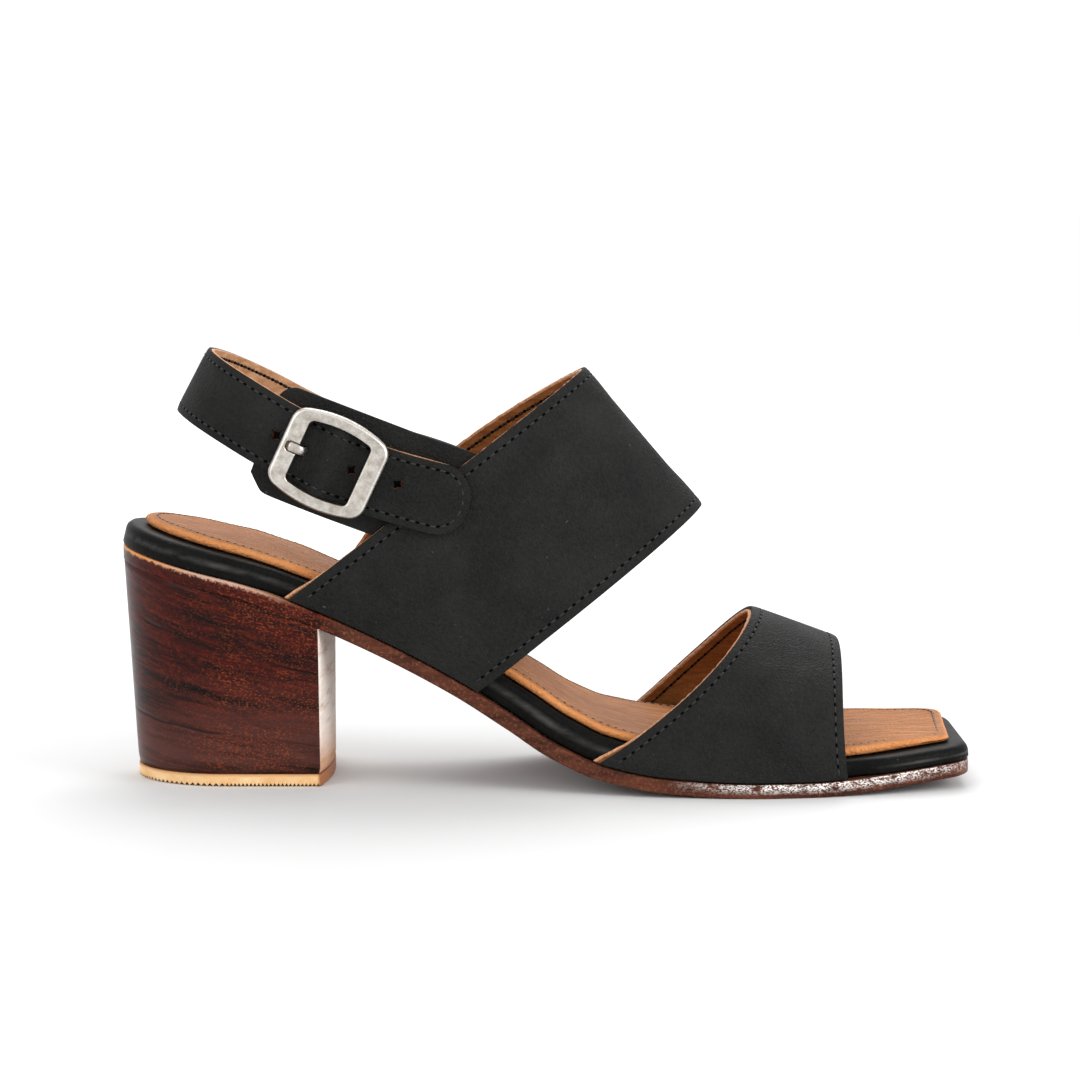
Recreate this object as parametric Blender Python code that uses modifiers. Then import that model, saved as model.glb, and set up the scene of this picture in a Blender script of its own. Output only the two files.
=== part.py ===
"""Right-foot leather sandal with a block heel, two bands and a buckled sling strap.

The toe points along +X, the outer side of the foot is -Y and the floor is z = 0.
Sizes in the tables and functions are millimetres, with x measured from the back of
the heel, and MM turns them into metres when a mesh is made.
"""

import math
from collections import namedtuple

import bmesh
import bpy
from mathutils import Matrix, Vector

MM = 0.001
GAP = 0.3
OUTER, INNER = -1, 1

# Overall size, and the point of the shoe's own axes that stands at the world origin.
LENGTH = 240.0
ORIGIN_X = 120.6
ORIGIN_Y = -0.85

# The sole from heel to toe: height of the outsole's upper face, half widths towards the
# outer and inner side, and the wrapped platform's thickness and step in from the edge.
SoleRow = namedtuple("SoleRow", "x top outer inner platform step")
SOLE = (
    SoleRow(0, 66.9, 29.0, 29.0, 6.8, 0.0),
    SoleRow(24, 61.0, 29.0, 29.0, 6.6, 0.5),
    SoleRow(36, 58.0, 29.0, 28.9, 6.5, 0.8),
    SoleRow(48, 53.9, 28.8, 28.4, 6.5, 3.0),
    SoleRow(72, 43.5, 28.2, 26.7, 6.8, 3.0),
    SoleRow(96, 31.1, 29.0, 26.6, 7.2, 3.0),
    SoleRow(112, 21.2, 30.8, 28.2, 7.4, 3.0),
    SoleRow(124, 13.5, 32.9, 30.4, 7.4, 3.0),
    SoleRow(136, 8.4, 36.0, 33.4, 7.2, 3.0),
    SoleRow(154, 5.2, 39.5, 37.2, 6.6, 3.0),
    SoleRow(178, 4.0, 40.9, 39.4, 5.8, 3.0),
    SoleRow(194, 4.0, 39.3, 39.0, 5.4, 3.0),
    SoleRow(207, 4.7, 36.8, 37.4, 5.0, 3.0),
    SoleRow(217, 5.7, 34.3, 35.4, 4.8, 0.8),
    SoleRow(LENGTH, 8.0, 26.0, 28.5, 4.6, 0.4),
)
HEEL_ARC = 30.0
HEEL_END_ANGLE = math.radians(10)
TOE_CORNER = {OUTER: 6.0, INNER: 11.0}
OUTSOLE_THICKNESS = 4.0
INSOLE_THICKNESS = 2.6
INSOLE_STEP = {OUTER: 6.4, INNER: 7.4}
OUTSOLE_ROUNDING = 0.6
PLATFORM_ROUNDING = 1.6
INSOLE_ROUNDING = 1.2

# How far each layer's ends lie inside the outline's length, and how far the inner side of
# its toe runs ahead of the middle.
LayerEnds = namedtuple("LayerEnds", "heel toe skew")
OUTSOLE_ENDS = LayerEnds(1.0, 0.2, 0.0)
PLATFORM_ENDS = LayerEnds(0.8, 0.0, 0.0)
INSOLE_ENDS = LayerEnds(5.7, 5.0, 2.0)
SKEW_REACH = 40.0

# The heel: plan sizes at its top and at the floor, and the bowed front face.
HeelPlan = namedtuple("HeelPlan", "back half_width")
HEEL_TOP = HeelPlan(1.2, 28.8)
HEEL_FOOT = HeelPlan(4.7, 23.0)
HEEL_FRONT = 58.1
HEEL_FRONT_BOW = 2.6
HEEL_ROUND_SHARE = 0.5
HEEL_ROUNDING = 0.5
TOP_LIFT = 3.5
TOP_LIFT_ROUNDING = 0.4

# The bands: where each edge crosses the ridge of the foot, where it starts on the outer
# and inner side of the sole, and how far it bows forward between.
BandEdge = namedtuple("BandEdge", "crest_x crest_z outer_foot outer_bow inner_foot inner_bow")
Band = namedtuple("Band", "back front")
INSTEP_BAND = Band(
    BandEdge(132.4, 116.4, 50.0, 0.0, 59.0, -5.0),
    BandEdge(166.1, 77.3, 102.4, 0.0, 106.0, 0.0),
)
TOE_BAND = Band(
    BandEdge(180.4, 47.6, 135.6, 3.4, 141.0, 3.4),
    BandEdge(205.1, 38.8, 204.6, -1.2, 206.0, 0.0),
)
BAND_WALL = 2.2
BAND_LIFT = 0.5
BAND_OVERHANG = 0.4
BAND_ROUNDNESS = 2.3
BAND_HUG = 0.3
RIDGE = 2.0

# The sling strap's middle line, from its tail on the outer side around the heel to the
# inner side, with the lean of its width in degrees.
SlingRow = namedtuple("SlingRow", "x y z lean")
SLING = (
    SlingRow(100.2, -27.0, 79.6, 10),
    SlingRow(91.5, -27.6, 81.4, 13),
    SlingRow(75.7, -29.0, 86.2, 20),
    SlingRow(61.7, -29.6, 91.8, 25),
    SlingRow(48.5, -28.6, 98.5, 27),
    SlingRow(37.2, -24.8, 104.8, 28),
    SlingRow(26.8, -15.2, 110.4, 28),
    SlingRow(22.0, 0.0, 112.8, 28),
    SlingRow(26.8, 15.2, 110.4, 28),
    SlingRow(37.2, 24.8, 104.8, 28),
    SlingRow(48.5, 28.2, 98.5, 27),
    SlingRow(61.7, 28.8, 91.8, 25),
    SlingRow(75.7, 28.0, 86.0, 22),
    SlingRow(92.0, 26.5, 79.8, 20),
)
STRAP_WIDTH = 19.6
STRAP_THICKNESS = 2.0
STRAP_TIP = 9.0
STRAP_TIP_WIDTH = 0.3
SEWN_DEPTH = 0.4
LEAD_IN = 0.3
SEARCH_STEPS = 40

# The tab under the buckle, from its free end to where it ends inside the instep band.
TAB_END = Vector((43.6, 0.0, 99.1))
TAB_LENGTH = 62.0
TAB_SLOPE = math.radians(21)
TAB_WIDTH = 31.0
TAB_THICKNESS = 1.6
TAB_CHAMFER = 4.5
TAB_DROP = 3.0
TAB_CLEARANCE = 1.5

# The buckle, in its own axes: x along the strap, y across it and z away from the foot.
BUCKLE_ROW = SLING[3]
BUCKLE_LENGTH = 29.0
BUCKLE_HEIGHT = 23.0
BUCKLE_BOW = 2.5
BUCKLE_CORNER = 4.0
WINDOW_LENGTH = 18.0
WINDOW_HEIGHT = 18.2
WINDOW_BOW = 1.2
WINDOW_CORNER = 1.4
BUCKLE_THICKNESS = 2.6
BUCKLE_UNDERSIDE = 1.3
BUCKLE_ROUNDING = 0.6
CENTRE_BAR_RADIUS = 0.8
CENTRE_BAR_LEVEL = 0.3
STRAP_HUMP = 2.6
HUMP_REACH = 6.0
BAR_REACH = (WINDOW_HEIGHT / 2 + WINDOW_BOW + BUCKLE_HEIGHT / 2 + BUCKLE_BOW) / 2
POST_SIZE = (BUCKLE_HEIGHT / 2 + BUCKLE_BOW - WINDOW_HEIGHT / 2 - WINDOW_BOW) / 2
NOTCH_CLEARANCE = 0.4
HOLE_PITCH = 12.9
HOLE_STEPS = (-1, 1, 2)
HOLE_SIZE = 2.2
HOLE_DEPTH = 16.0
PRONG_SLOT = 3.4

# The prong's route in the buckle's axes: under the strap, up through it and over to the frame.
PRONG_RADIUS = 0.65
PRONG_FLATNESS = 2.0
ProngRow = namedtuple("ProngRow", "along level")
PRONG = (
    ProngRow(-1.2, 0.0),
    ProngRow(-3.0, -1.3),
    ProngRow(-5.2, -1.55),
    ProngRow(-6.3, -0.2),
    ProngRow(-7.0, 2.0),
    ProngRow(-8.0, 3.4),
    ProngRow(-9.6, 3.8),
    ProngRow(-12.2, 3.8),
)
PRONG_HOLE = PRONG[3]
PRONG_TIP = PRONG[-1]

SHARP_ANGLE = math.radians(35)
ROUNDED_ANGLE = math.radians(50)
ROUND_SEGMENTS = 12
WELD = 0.01
SOLE_MIDDLE_SPANS = 26
ARC_SPANS = 6
SOLE_LANES = 4
BAND_COLUMNS = 10
BAND_LANES = 32
STRAP_COLUMNS = 60
STRAP_LANES = 4

Finish = namedtuple("Finish", "colour roughness metallic")
BLACK_LEATHER = Finish((0.022, 0.021, 0.020), 0.55, 0.0)
TAN_LEATHER = Finish((0.48, 0.24, 0.10), 0.6, 0.0)
SOLE_LEATHER = Finish((0.16, 0.045, 0.025), 0.4, 0.0)
STACKED_LEATHER = Finish((0.10, 0.022, 0.012), 0.35, 0.0)
LIFT_RUBBER = Finish((0.72, 0.45, 0.20), 0.6, 0.0)
NICKEL = Finish((0.42, 0.41, 0.38), 0.3, 1.0)


def clear_scene():
    for item in list(bpy.data.objects):
        bpy.data.objects.remove(item, do_unlink=True)


def new_collection(name):
    collection = bpy.data.collections.new(name)
    bpy.context.scene.collection.children.link(collection)
    return collection


def new_material(name, finish):
    material = bpy.data.materials.new(name)
    material.use_nodes = True
    shader = material.node_tree.nodes["Principled BSDF"]
    shader.inputs["Base Color"].default_value = (*finish.colour, 1.0)
    shader.inputs["Roughness"].default_value = finish.roughness
    shader.inputs["Metallic"].default_value = finish.metallic
    return material


def mix(first, second, share):
    return first + (second - first) * share


def smoothstep(low, high, value):
    share = min(max((value - low) / (high - low), 0.0), 1.0)
    return share * share * (3 - 2 * share)


def spaced(first, last, spans):
    return [mix(first, last, index / spans) for index in range(spans + 1)]


def profile(rows, column):
    """Smooth curve through one column of a table, which never overshoots its rows."""
    xs = [row.x for row in rows]
    values = [getattr(row, column) for row in rows]
    rates = [(values[i + 1] - values[i]) / (xs[i + 1] - xs[i]) for i in range(len(xs) - 1)]
    slopes = [rates[0]]
    for before, after in zip(rates, rates[1:]):
        slopes.append(2 * before * after / (before + after) if before * after > 0 else 0.0)
    slopes.append(rates[-1])

    def value_at(x):
        i = max(sum(1 for start in xs[1:-1] if start <= x), 0)
        span = xs[i + 1] - xs[i]
        t = (x - xs[i]) / span
        if t < 0 or t > 1:
            end = i + (t > 1)
            return values[end] + slopes[end] * (x - xs[end])
        rise = (1 + 2 * t) * (1 - t) ** 2 * values[i] + t * t * (3 - 2 * t) * values[i + 1]
        turn = t * (1 - t) ** 2 * slopes[i] - t * t * (1 - t) * slopes[i + 1]
        return rise + span * turn

    return value_at


sole_top = profile(SOLE, "top")
platform_thickness = profile(SOLE, "platform")
platform_step = profile(SOLE, "step")
sole_half = {OUTER: profile(SOLE, "outer"), INNER: profile(SOLE, "inner")}


def sole_normal(x, reach=1.0):
    slope = (sole_top(x + reach) - sole_top(x - reach)) / (2 * reach)
    return Vector((-slope, 0, 1)).normalized()


def half_width(x, side, step=0.0):
    """Half width of the sole's outline, stepped in from its edge, with round ends."""
    width = sole_half[side](x) - step
    corner = TOE_CORNER[side] - step / 2
    past = x - (LENGTH - corner)
    if x < HEEL_ARC:
        return width * math.sqrt(1 - (1 - x / HEEL_ARC) ** 2)
    if past > 0:
        return width - corner + math.sqrt(max(corner * corner - past * past, 0.0))
    return width


def sole_stations():
    """Places along the sole, close together around the heel and the toe corners."""
    heel = [HEEL_ARC * (1 - math.cos(a)) for a in spaced(HEEL_END_ANGLE, math.pi / 2, ARC_SPANS)]
    corner = TOE_CORNER[INNER]
    middle = spaced(HEEL_ARC, LENGTH - corner, SOLE_MIDDLE_SPANS)
    toe = [LENGTH - corner + corner * math.sin(a) for a in spaced(0, math.pi / 2, ARC_SPANS)]
    return heel + middle[1:] + toe[1:]


def sole_point(x, across, step, ends, lift):
    """Point above the outsole's upper face; across runs from -1, outer, to 1, inner."""
    side = OUTER if across < 0 else INNER
    inset_x = x + mix(ends.heel, -ends.toe, x / LENGTH)
    inset_x += ends.skew * across * smoothstep(LENGTH - SKEW_REACH, LENGTH, x)
    y = across * half_width(x, side, step)
    return Vector((inset_x, y, sole_top(inset_x))) + sole_normal(inset_x) * lift


def add_part(name, mesh, material, parent, collection):
    part = bpy.data.objects.new(name, mesh)
    if not mesh.materials:
        mesh.materials.append(material)
    part.parent = parent
    collection.objects.link(part)
    return part


def grid_mesh(name, columns, lanes, surface):
    """Open sheet: a grid laid on a surface that is a function of two shares, 0 to 1."""
    bm = bmesh.new()
    bmesh.ops.create_grid(bm, x_segments=columns, y_segments=lanes, size=0.5)
    for vert in bm.verts:
        vert.co = surface(vert.co.x + 0.5, vert.co.y + 0.5) * MM
    bmesh.ops.recalc_face_normals(bm, faces=bm.faces[:])
    return finish_mesh(name, bm)


def loft_mesh(name, columns, lanes, upper, lower):
    """Closed block between two unlike faces, each a function of two shares, 0 to 1."""
    bm = bmesh.new()
    bmesh.ops.create_grid(bm, x_segments=columns, y_segments=lanes, size=0.5)
    made = bmesh.ops.extrude_face_region(bm, geom=bm.faces[:])
    copied = {item for item in made["geom"] if isinstance(item, bmesh.types.BMVert)}
    for vert in bm.verts:
        face = upper if vert in copied else lower
        vert.co = face(vert.co.x + 0.5, vert.co.y + 0.5) * MM
    bmesh.ops.recalc_face_normals(bm, faces=bm.faces[:])
    return finish_mesh(name, bm)


def finish_mesh(name, bm):
    mesh = bpy.data.meshes.new(name)
    bm.to_mesh(mesh)
    bm.free()
    mesh.shade_smooth()
    mesh.set_sharp_from_angle(angle=SHARP_ANGLE)
    return mesh


def solidify(part, thickness, offset):
    wall = part.modifiers.new("wall", "SOLIDIFY")
    wall.thickness = thickness * MM
    wall.offset = offset
    wall.use_even_offset = True


def round_edges(part, width, segments=2):
    bevel = part.modifiers.new("rounded edges", "BEVEL")
    bevel.width = width * MM
    bevel.segments = segments
    bevel.limit_method = "ANGLE"
    bevel.angle_limit = ROUNDED_ANGLE


def combine(part, operation, tool):
    step = part.modifiers.new(f"{operation.lower()} {tool.name}", "BOOLEAN")
    step.operation = operation
    step.solver = "EXACT"
    step.object = tool


def hide_tool(tool):
    tool.hide_render = True
    tool.display_type = "WIRE"


def outsole(sandal, parts):
    stations = sole_stations()
    spans = len(stations) - 1

    def upper_face(u, v):
        return sole_point(stations[round(u * spans)], 2 * v - 1, 0.0, OUTSOLE_ENDS, 0.0)

    def lower_face(u, v):
        point = upper_face(u, v)
        return point - Vector((0, 0, OUTSOLE_THICKNESS / sole_normal(point.x).z))

    mesh = loft_mesh("outsole", spans, SOLE_LANES, upper_face, lower_face)
    part = add_part("outsole", mesh, new_material("sole leather", SOLE_LEATHER), sandal, parts)
    round_edges(part, OUTSOLE_ROUNDING, 1)


def platform(sandal, parts):
    stations = sole_stations()
    spans = len(stations) - 1

    def layer(lift):
        def surface(u, v):
            x = stations[round(u * spans)]
            height = GAP + lift * (platform_thickness(x) - GAP)
            return sole_point(x, 2 * v - 1, platform_step(x), PLATFORM_ENDS, height)
        return surface

    mesh = loft_mesh("platform", spans, SOLE_LANES, layer(1), layer(0))
    part = add_part("platform", mesh, new_material("wrap leather", BLACK_LEATHER), sandal, parts)
    round_edges(part, PLATFORM_ROUNDING)


def insole(sandal, parts):
    stations = sole_stations()
    spans = len(stations) - 1

    def layer(lift):
        def surface(u, v):
            x = stations[round(u * spans)]
            step = INSOLE_STEP[OUTER if v < 0.5 else INNER]
            return sole_point(x, 2 * v - 1, step, INSOLE_ENDS, platform_thickness(x) + lift)
        return surface

    mesh = loft_mesh("insole", spans, SOLE_LANES, layer(GAP + INSOLE_THICKNESS), layer(GAP))
    part = add_part("insole", mesh, new_material("tan leather", TAN_LEATHER), sandal, parts)
    round_edges(part, INSOLE_ROUNDING)


def heel_shares():
    round_part = [HEEL_ROUND_SHARE * (1 - math.cos(a))
                  for a in spaced(HEEL_END_ANGLE, math.pi / 2, ARC_SPANS)]
    return round_part + spaced(HEEL_ROUND_SHARE, 1.0, ARC_SPANS)[1:]


def heel_plan(level, share, across):
    """Plan of the heel at a level, 0 at the floor and 1 at its top."""
    back = mix(HEEL_FOOT.back, HEEL_TOP.back, level)
    half = mix(HEEL_FOOT.half_width, HEEL_TOP.half_width, level)
    front = HEEL_FRONT + HEEL_FRONT_BOW * (1 - across * across)
    bulge = 1.0
    if share < HEEL_ROUND_SHARE:
        bulge = math.sqrt(1 - (1 - share / HEEL_ROUND_SHARE) ** 2)
    return mix(back, front, share), half * bulge * across


def heel(sandal, parts):
    shares = heel_shares()
    spans = len(shares) - 1

    def seat(u, v):
        x, y = heel_plan(1, shares[round(u * spans)], 2 * v - 1)
        slope = sole_normal(x)
        return Vector((x, y, sole_top(x) - (OUTSOLE_THICKNESS + GAP) / slope.z))

    def level_face(height):
        level = height / sole_top(0)

        def surface(u, v):
            x, y = heel_plan(level, shares[round(u * spans)], 2 * v - 1)
            return Vector((x, y, height))
        return surface

    block = loft_mesh("heel_block", spans, SOLE_LANES, seat, level_face(TOP_LIFT + GAP))
    part = add_part("heel_block", block, new_material("stacked leather", STACKED_LEATHER),
                    sandal, parts)
    round_edges(part, HEEL_ROUNDING, 1)
    lift = loft_mesh("heel_top_lift", spans, SOLE_LANES, level_face(TOP_LIFT), level_face(0.0))
    part = add_part("heel_top_lift", lift, new_material("lift rubber", LIFT_RUBBER), sandal, parts)
    round_edges(part, TOP_LIFT_ROUNDING, 1)


def band_section(band, along):
    """The band's section at a share of its width, as an edge between its two edges."""
    return BandEdge(*(mix(a, b, along) for a, b in zip(band.back, band.front)))


def section_side(section, side):
    if side == OUTER:
        return section.outer_foot, section.outer_bow
    return section.inner_foot, section.inner_bow


def section_x(section, rise, side):
    """How far along the shoe a section lies, at a share of its rise to the crest."""
    foot, bow = section_side(section, side)
    return mix(foot, section.crest_x, rise) + bow * 4 * rise * (1 - rise)


def band_base(section, side):
    foot, _ = section_side(section, side)
    return sole_top(foot) + BAND_LIFT


def band_y(section, rise, side):
    """Sideways place of the band's outer face: it hugs the sole, then follows the foot."""
    foot, _ = section_side(section, side)
    reach = math.sqrt(max(1 - rise ** BAND_ROUNDNESS, 0.0))
    hug = 1 - smoothstep(0.0, BAND_HUG, rise)
    half = mix(half_width(foot, side), half_width(section_x(section, rise, side), side), hug)
    return RIDGE * rise + side * reach * (half + BAND_OVERHANG)


def band_point(band, along, turn):
    """Outer face of a band; turn runs over the foot from the outer side to the inner."""
    section = band_section(band, along)
    side = OUTER if turn < 0.5 else INNER
    rise = math.sin(math.pi * turn) ** (2 / BAND_ROUNDNESS)
    z = mix(band_base(section, side), section.crest_z, rise)
    return Vector((section_x(section, rise, side), band_y(section, rise, side), z))


def band_side(band, x, z, side):
    """Share across a band, and its outer face's y, at a place seen from the side."""
    low, high = -LEAD_IN, 1.0 + LEAD_IN
    for _ in range(SEARCH_STEPS):
        along = (low + high) / 2
        section = band_section(band, along)
        base = band_base(section, side)
        rise = min(max((z - base) / (section.crest_z - base), 0.0), 1.0)
        low, high = (along, high) if x > section_x(section, rise, side) else (low, along)
    return along, band_y(section, rise, side)


def band_mesh(name, band):
    return grid_mesh(name, BAND_COLUMNS, BAND_LANES, lambda u, v: band_point(band, u, v))


def face_inwards(part):
    """Offset that puts a band's wall on the side of its faces that looks at the foot."""
    outward = sum(face.normal.dot(face.center - Vector((face.center.x, 0, 0)))
                  for face in part.data.polygons)
    return -1 if outward > 0 else 1


def toe_band(sandal, parts):
    part = add_part("toe_band", band_mesh("toe_band", TOE_BAND),
                    new_material("toe band leather", BLACK_LEATHER), sandal, parts)
    solidify(part, BAND_WALL, face_inwards(part))


def sling_row(share):
    """Smooth curve through the strap's rows."""
    place = share * (len(SLING) - 1)
    i = min(int(place), len(SLING) - 2)
    t = place - i
    rows = [SLING[min(max(i + k, 0), len(SLING) - 1)] for k in (-1, 0, 1, 2)]
    values = []
    for a, b, c, d in zip(*rows):
        values.append(b + 0.5 * t * (c - a + t * (2 * a - 5 * b + 4 * c - d + t * (3 * (b - c) + d - a))))
    return SlingRow(*values)


def along_buckle(x, z):
    lean = math.radians(BUCKLE_ROW.lean)
    return (x - BUCKLE_ROW.x) * math.cos(lean) - (z - BUCKLE_ROW.z) * math.sin(lean)


def lay_on_band(x, y, z, side, clearance):
    """Lead a strap from its own line onto the instep band's wall."""
    along, skin = band_side(INSTEP_BAND, x, z, side)
    return mix(y, skin + side * clearance, smoothstep(-LEAD_IN, 0.0, along))


def sling_point(share, across):
    """Middle surface of the strap; across runs from its lower to its upper edge."""
    row = sling_row(share)
    lean = math.radians(row.lean)
    tip = math.dist((row.x, row.z), (SLING[0].x, SLING[0].z)) if row.y < 0 else STRAP_TIP
    taper = math.sqrt(1 - (1 - min(tip / STRAP_TIP, 1.0)) ** 2) if tip > 0 else 0.0
    offset = across * STRAP_WIDTH / 2 * max(taper, STRAP_TIP_WIDTH)
    x = row.x + offset * math.sin(lean)
    z = row.z + offset * math.cos(lean)
    if row.y < 0:
        y = lay_on_band(x, row.y, z, OUTER, STRAP_THICKNESS / 2 - SEWN_DEPTH)
    else:
        y = lay_on_band(x, row.y, z, INNER, SEWN_DEPTH - BAND_WALL - STRAP_THICKNESS / 2)
    place = min(abs(along_buckle(x, z)) / HUMP_REACH, 1.0)
    hump = STRAP_HUMP * math.cos(place * math.pi / 2) ** 2 if row.y < 0 else 0.0
    return Vector((x, y - hump, z))


def tab_point(share, across):
    """Middle surface of the tab, which lies between the foot and the strap."""
    run = share * TAB_LENGTH
    half = TAB_WIDTH / 2 - max(TAB_CHAMFER - run, 0.0)
    x = TAB_END.x + run * math.cos(TAB_SLOPE) + across * half * math.sin(TAB_SLOPE)
    z = TAB_END.z - run * math.sin(TAB_SLOPE) + across * half * math.cos(TAB_SLOPE)
    strap_y = BUCKLE_ROW.y + TAB_DROP * max((BUCKLE_ROW.x - x) / BUCKLE_LENGTH, 0.0) ** 2
    under = strap_y + STRAP_THICKNESS / 2 + TAB_CLEARANCE + TAB_THICKNESS / 2
    clearance = SEWN_DEPTH - BAND_WALL - TAB_THICKNESS / 2
    return Vector((x, lay_on_band(x, under, z, OUTER, clearance), z))


def buckle_matrix():
    """The buckle's own axes, standing on the strap's middle line."""
    lean = math.radians(BUCKLE_ROW.lean)
    along = Vector((math.cos(lean), 0, -math.sin(lean)))
    across = Vector((math.sin(lean), 0, math.cos(lean)))
    turn = Matrix((along, across, along.cross(across))).transposed().to_4x4()
    return Matrix.Translation(Vector((BUCKLE_ROW.x, BUCKLE_ROW.y, BUCKLE_ROW.z)) * MM) @ turn


def add_box(bm, place, size):
    matrix = Matrix.Translation(place * MM) @ Matrix.Diagonal((*(size * MM), 1))
    bmesh.ops.create_cube(bm, size=1.0, matrix=matrix)


def strap_holes(sandal, tools):
    """Square holes along the strap, the longest one for the prong."""
    bm = bmesh.new()
    for step in HOLE_STEPS:
        place = Vector((PRONG_HOLE.along + step * HOLE_PITCH, 0, 0))
        add_box(bm, place, Vector((HOLE_SIZE, HOLE_SIZE, HOLE_DEPTH)))
    add_box(bm, Vector((PRONG_HOLE.along, 0, 0)), Vector((PRONG_SLOT, PRONG_SLOT, HOLE_DEPTH)))
    holes = add_part("strap_holes", finish_mesh("strap_holes", bm), None, sandal, tools)
    holes.matrix_local = buckle_matrix()
    hide_tool(holes)
    return holes


def upper(sandal, parts, tools):
    """Instep band, tab and sling strap, joined where they are sewn together."""
    black = new_material("upper leather", BLACK_LEATHER)
    strap = add_part("sling_strap", grid_mesh("sling_strap", STRAP_COLUMNS, STRAP_LANES,
                     lambda u, v: sling_point(u, 2 * v - 1)), black, sandal, tools)
    solidify(strap, STRAP_THICKNESS, 0)
    combine(strap, "DIFFERENCE", strap_holes(sandal, tools))
    hide_tool(strap)
    tab = add_part("buckle_tab", grid_mesh("buckle_tab", BAND_COLUMNS, STRAP_LANES,
                   lambda u, v: tab_point(u, 2 * v - 1)), black, sandal, tools)
    solidify(tab, TAB_THICKNESS, 0)
    hide_tool(tab)
    band = add_part("upper", band_mesh("upper", INSTEP_BAND), black, sandal, parts)
    solidify(band, BAND_WALL, face_inwards(band))
    combine(band, "UNION", tab)
    combine(band, "UNION", strap)


def bowed_outline(length, height, bow, corner):
    """Rectangle with round corners whose two long sides bow outwards."""
    flat = length / 2 - corner
    rise = height / 2 - corner
    quarter = [(corner * math.cos(a), corner * math.sin(a)) for a in spaced(0, math.pi / 2, ARC_SPANS)]
    right = [(flat + x, rise + y) for x, y in quarter]
    top = [(x, height / 2 + bow * (1 - (x / flat) ** 2)) for x in spaced(flat, -flat, ARC_SPANS)]
    left = [(-x, y) for x, y in reversed(right)]
    half = right + top[1:-1] + left
    return half + [(-x, -y) for x, y in half]


def mesh_from_curve(curve_object):
    """Mesh of a curve with its caps welded, and the curve removed."""
    evaluated = curve_object.evaluated_get(bpy.context.evaluated_depsgraph_get())
    mesh = bpy.data.meshes.new_from_object(evaluated)
    bm = bmesh.new()
    bm.from_mesh(mesh)
    bmesh.ops.remove_doubles(bm, verts=bm.verts[:], dist=WELD * MM)
    bm.to_mesh(mesh)
    bm.free()
    bpy.data.objects.remove(curve_object, do_unlink=True)
    return mesh


def frame_plate():
    curve = bpy.data.curves.new("frame_outline", "CURVE")
    curve.dimensions = "2D"
    curve.fill_mode = "BOTH"
    curve.bevel_depth = BUCKLE_ROUNDING * MM
    curve.bevel_resolution = 1
    curve.offset = -BUCKLE_ROUNDING * MM
    curve.extrude = (BUCKLE_THICKNESS / 2 - BUCKLE_ROUNDING) * MM
    outlines = (
        bowed_outline(BUCKLE_LENGTH, BUCKLE_HEIGHT, BUCKLE_BOW, BUCKLE_CORNER),
        bowed_outline(WINDOW_LENGTH, WINDOW_HEIGHT, WINDOW_BOW, WINDOW_CORNER),
    )
    for outline in outlines:
        spline = curve.splines.new("POLY")
        spline.points.add(len(outline) - 1)
        for point, (x, y) in zip(spline.points, outline):
            point.co = (x * MM, y * MM, 0, 1)
        spline.use_cyclic_u = True
    plate = bpy.data.objects.new("frame_outline", curve)
    bpy.context.scene.collection.objects.link(plate)
    mesh = mesh_from_curve(plate)
    mesh.transform(Matrix.Translation((0, 0, (BUCKLE_UNDERSIDE + BUCKLE_THICKNESS / 2) * MM)))
    return mesh


def centre_bar_mesh():
    """Bar under the strap, on which the prong turns."""
    bm = bmesh.new()
    matrix = Matrix.Translation((0, 0, CENTRE_BAR_LEVEL * MM)) @ Matrix.Rotation(math.pi / 2, 4, "X")
    bmesh.ops.create_cone(bm, cap_ends=True, segments=ROUND_SEGMENTS, radius1=CENTRE_BAR_RADIUS * MM,
                          radius2=CENTRE_BAR_RADIUS * MM, depth=2 * BAR_REACH * MM, matrix=matrix)
    return finish_mesh("centre_bar", bm)


def bar_posts_mesh():
    """Posts between the ends of the centre bar and the frame."""
    bm = bmesh.new()
    low = CENTRE_BAR_LEVEL - CENTRE_BAR_RADIUS
    high = BUCKLE_UNDERSIDE + BUCKLE_THICKNESS / 2
    for side in (OUTER, INNER):
        place = Vector((0, side * BAR_REACH, (low + high) / 2))
        add_box(bm, place, Vector((POST_SIZE, POST_SIZE, high - low)))
    return finish_mesh("bar_posts", bm)


def prong_notch_mesh():
    """Cutter for the groove in the frame that the prong's tip lies in."""
    bm = bmesh.new()
    wide = PRONG_RADIUS * PRONG_FLATNESS + NOTCH_CLEARANCE
    flat = (PRONG_RADIUS + NOTCH_CLEARANCE) / wide
    shape = Matrix.Rotation(math.pi / 2, 4, "Y") @ Matrix.Diagonal((flat, 1, 1, 1))
    place = Matrix.Translation(Vector((PRONG_TIP.along, 0, PRONG_TIP.level)) * MM)
    bmesh.ops.create_cone(bm, cap_ends=True, segments=ROUND_SEGMENTS, radius1=wide * MM,
                          radius2=wide * MM, depth=BUCKLE_LENGTH / 2 * MM, matrix=place @ shape)
    return finish_mesh("prong_notch", bm)


def buckle(sandal, parts, tools):
    nickel = new_material("nickel", NICKEL)
    mount = bpy.data.objects.new("buckle", None)
    mount.parent = sandal
    mount.matrix_local = buckle_matrix()
    parts.objects.link(mount)
    frame = add_part("buckle_frame", frame_plate(), nickel, mount, parts)
    steps = (("UNION", bar_posts_mesh()), ("UNION", centre_bar_mesh()), ("DIFFERENCE", prong_notch_mesh()))
    for operation, mesh in steps:
        tool = add_part(mesh.name, mesh, nickel, mount, tools)
        hide_tool(tool)
        combine(frame, operation, tool)
    prong(mount, parts, nickel)


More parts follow.
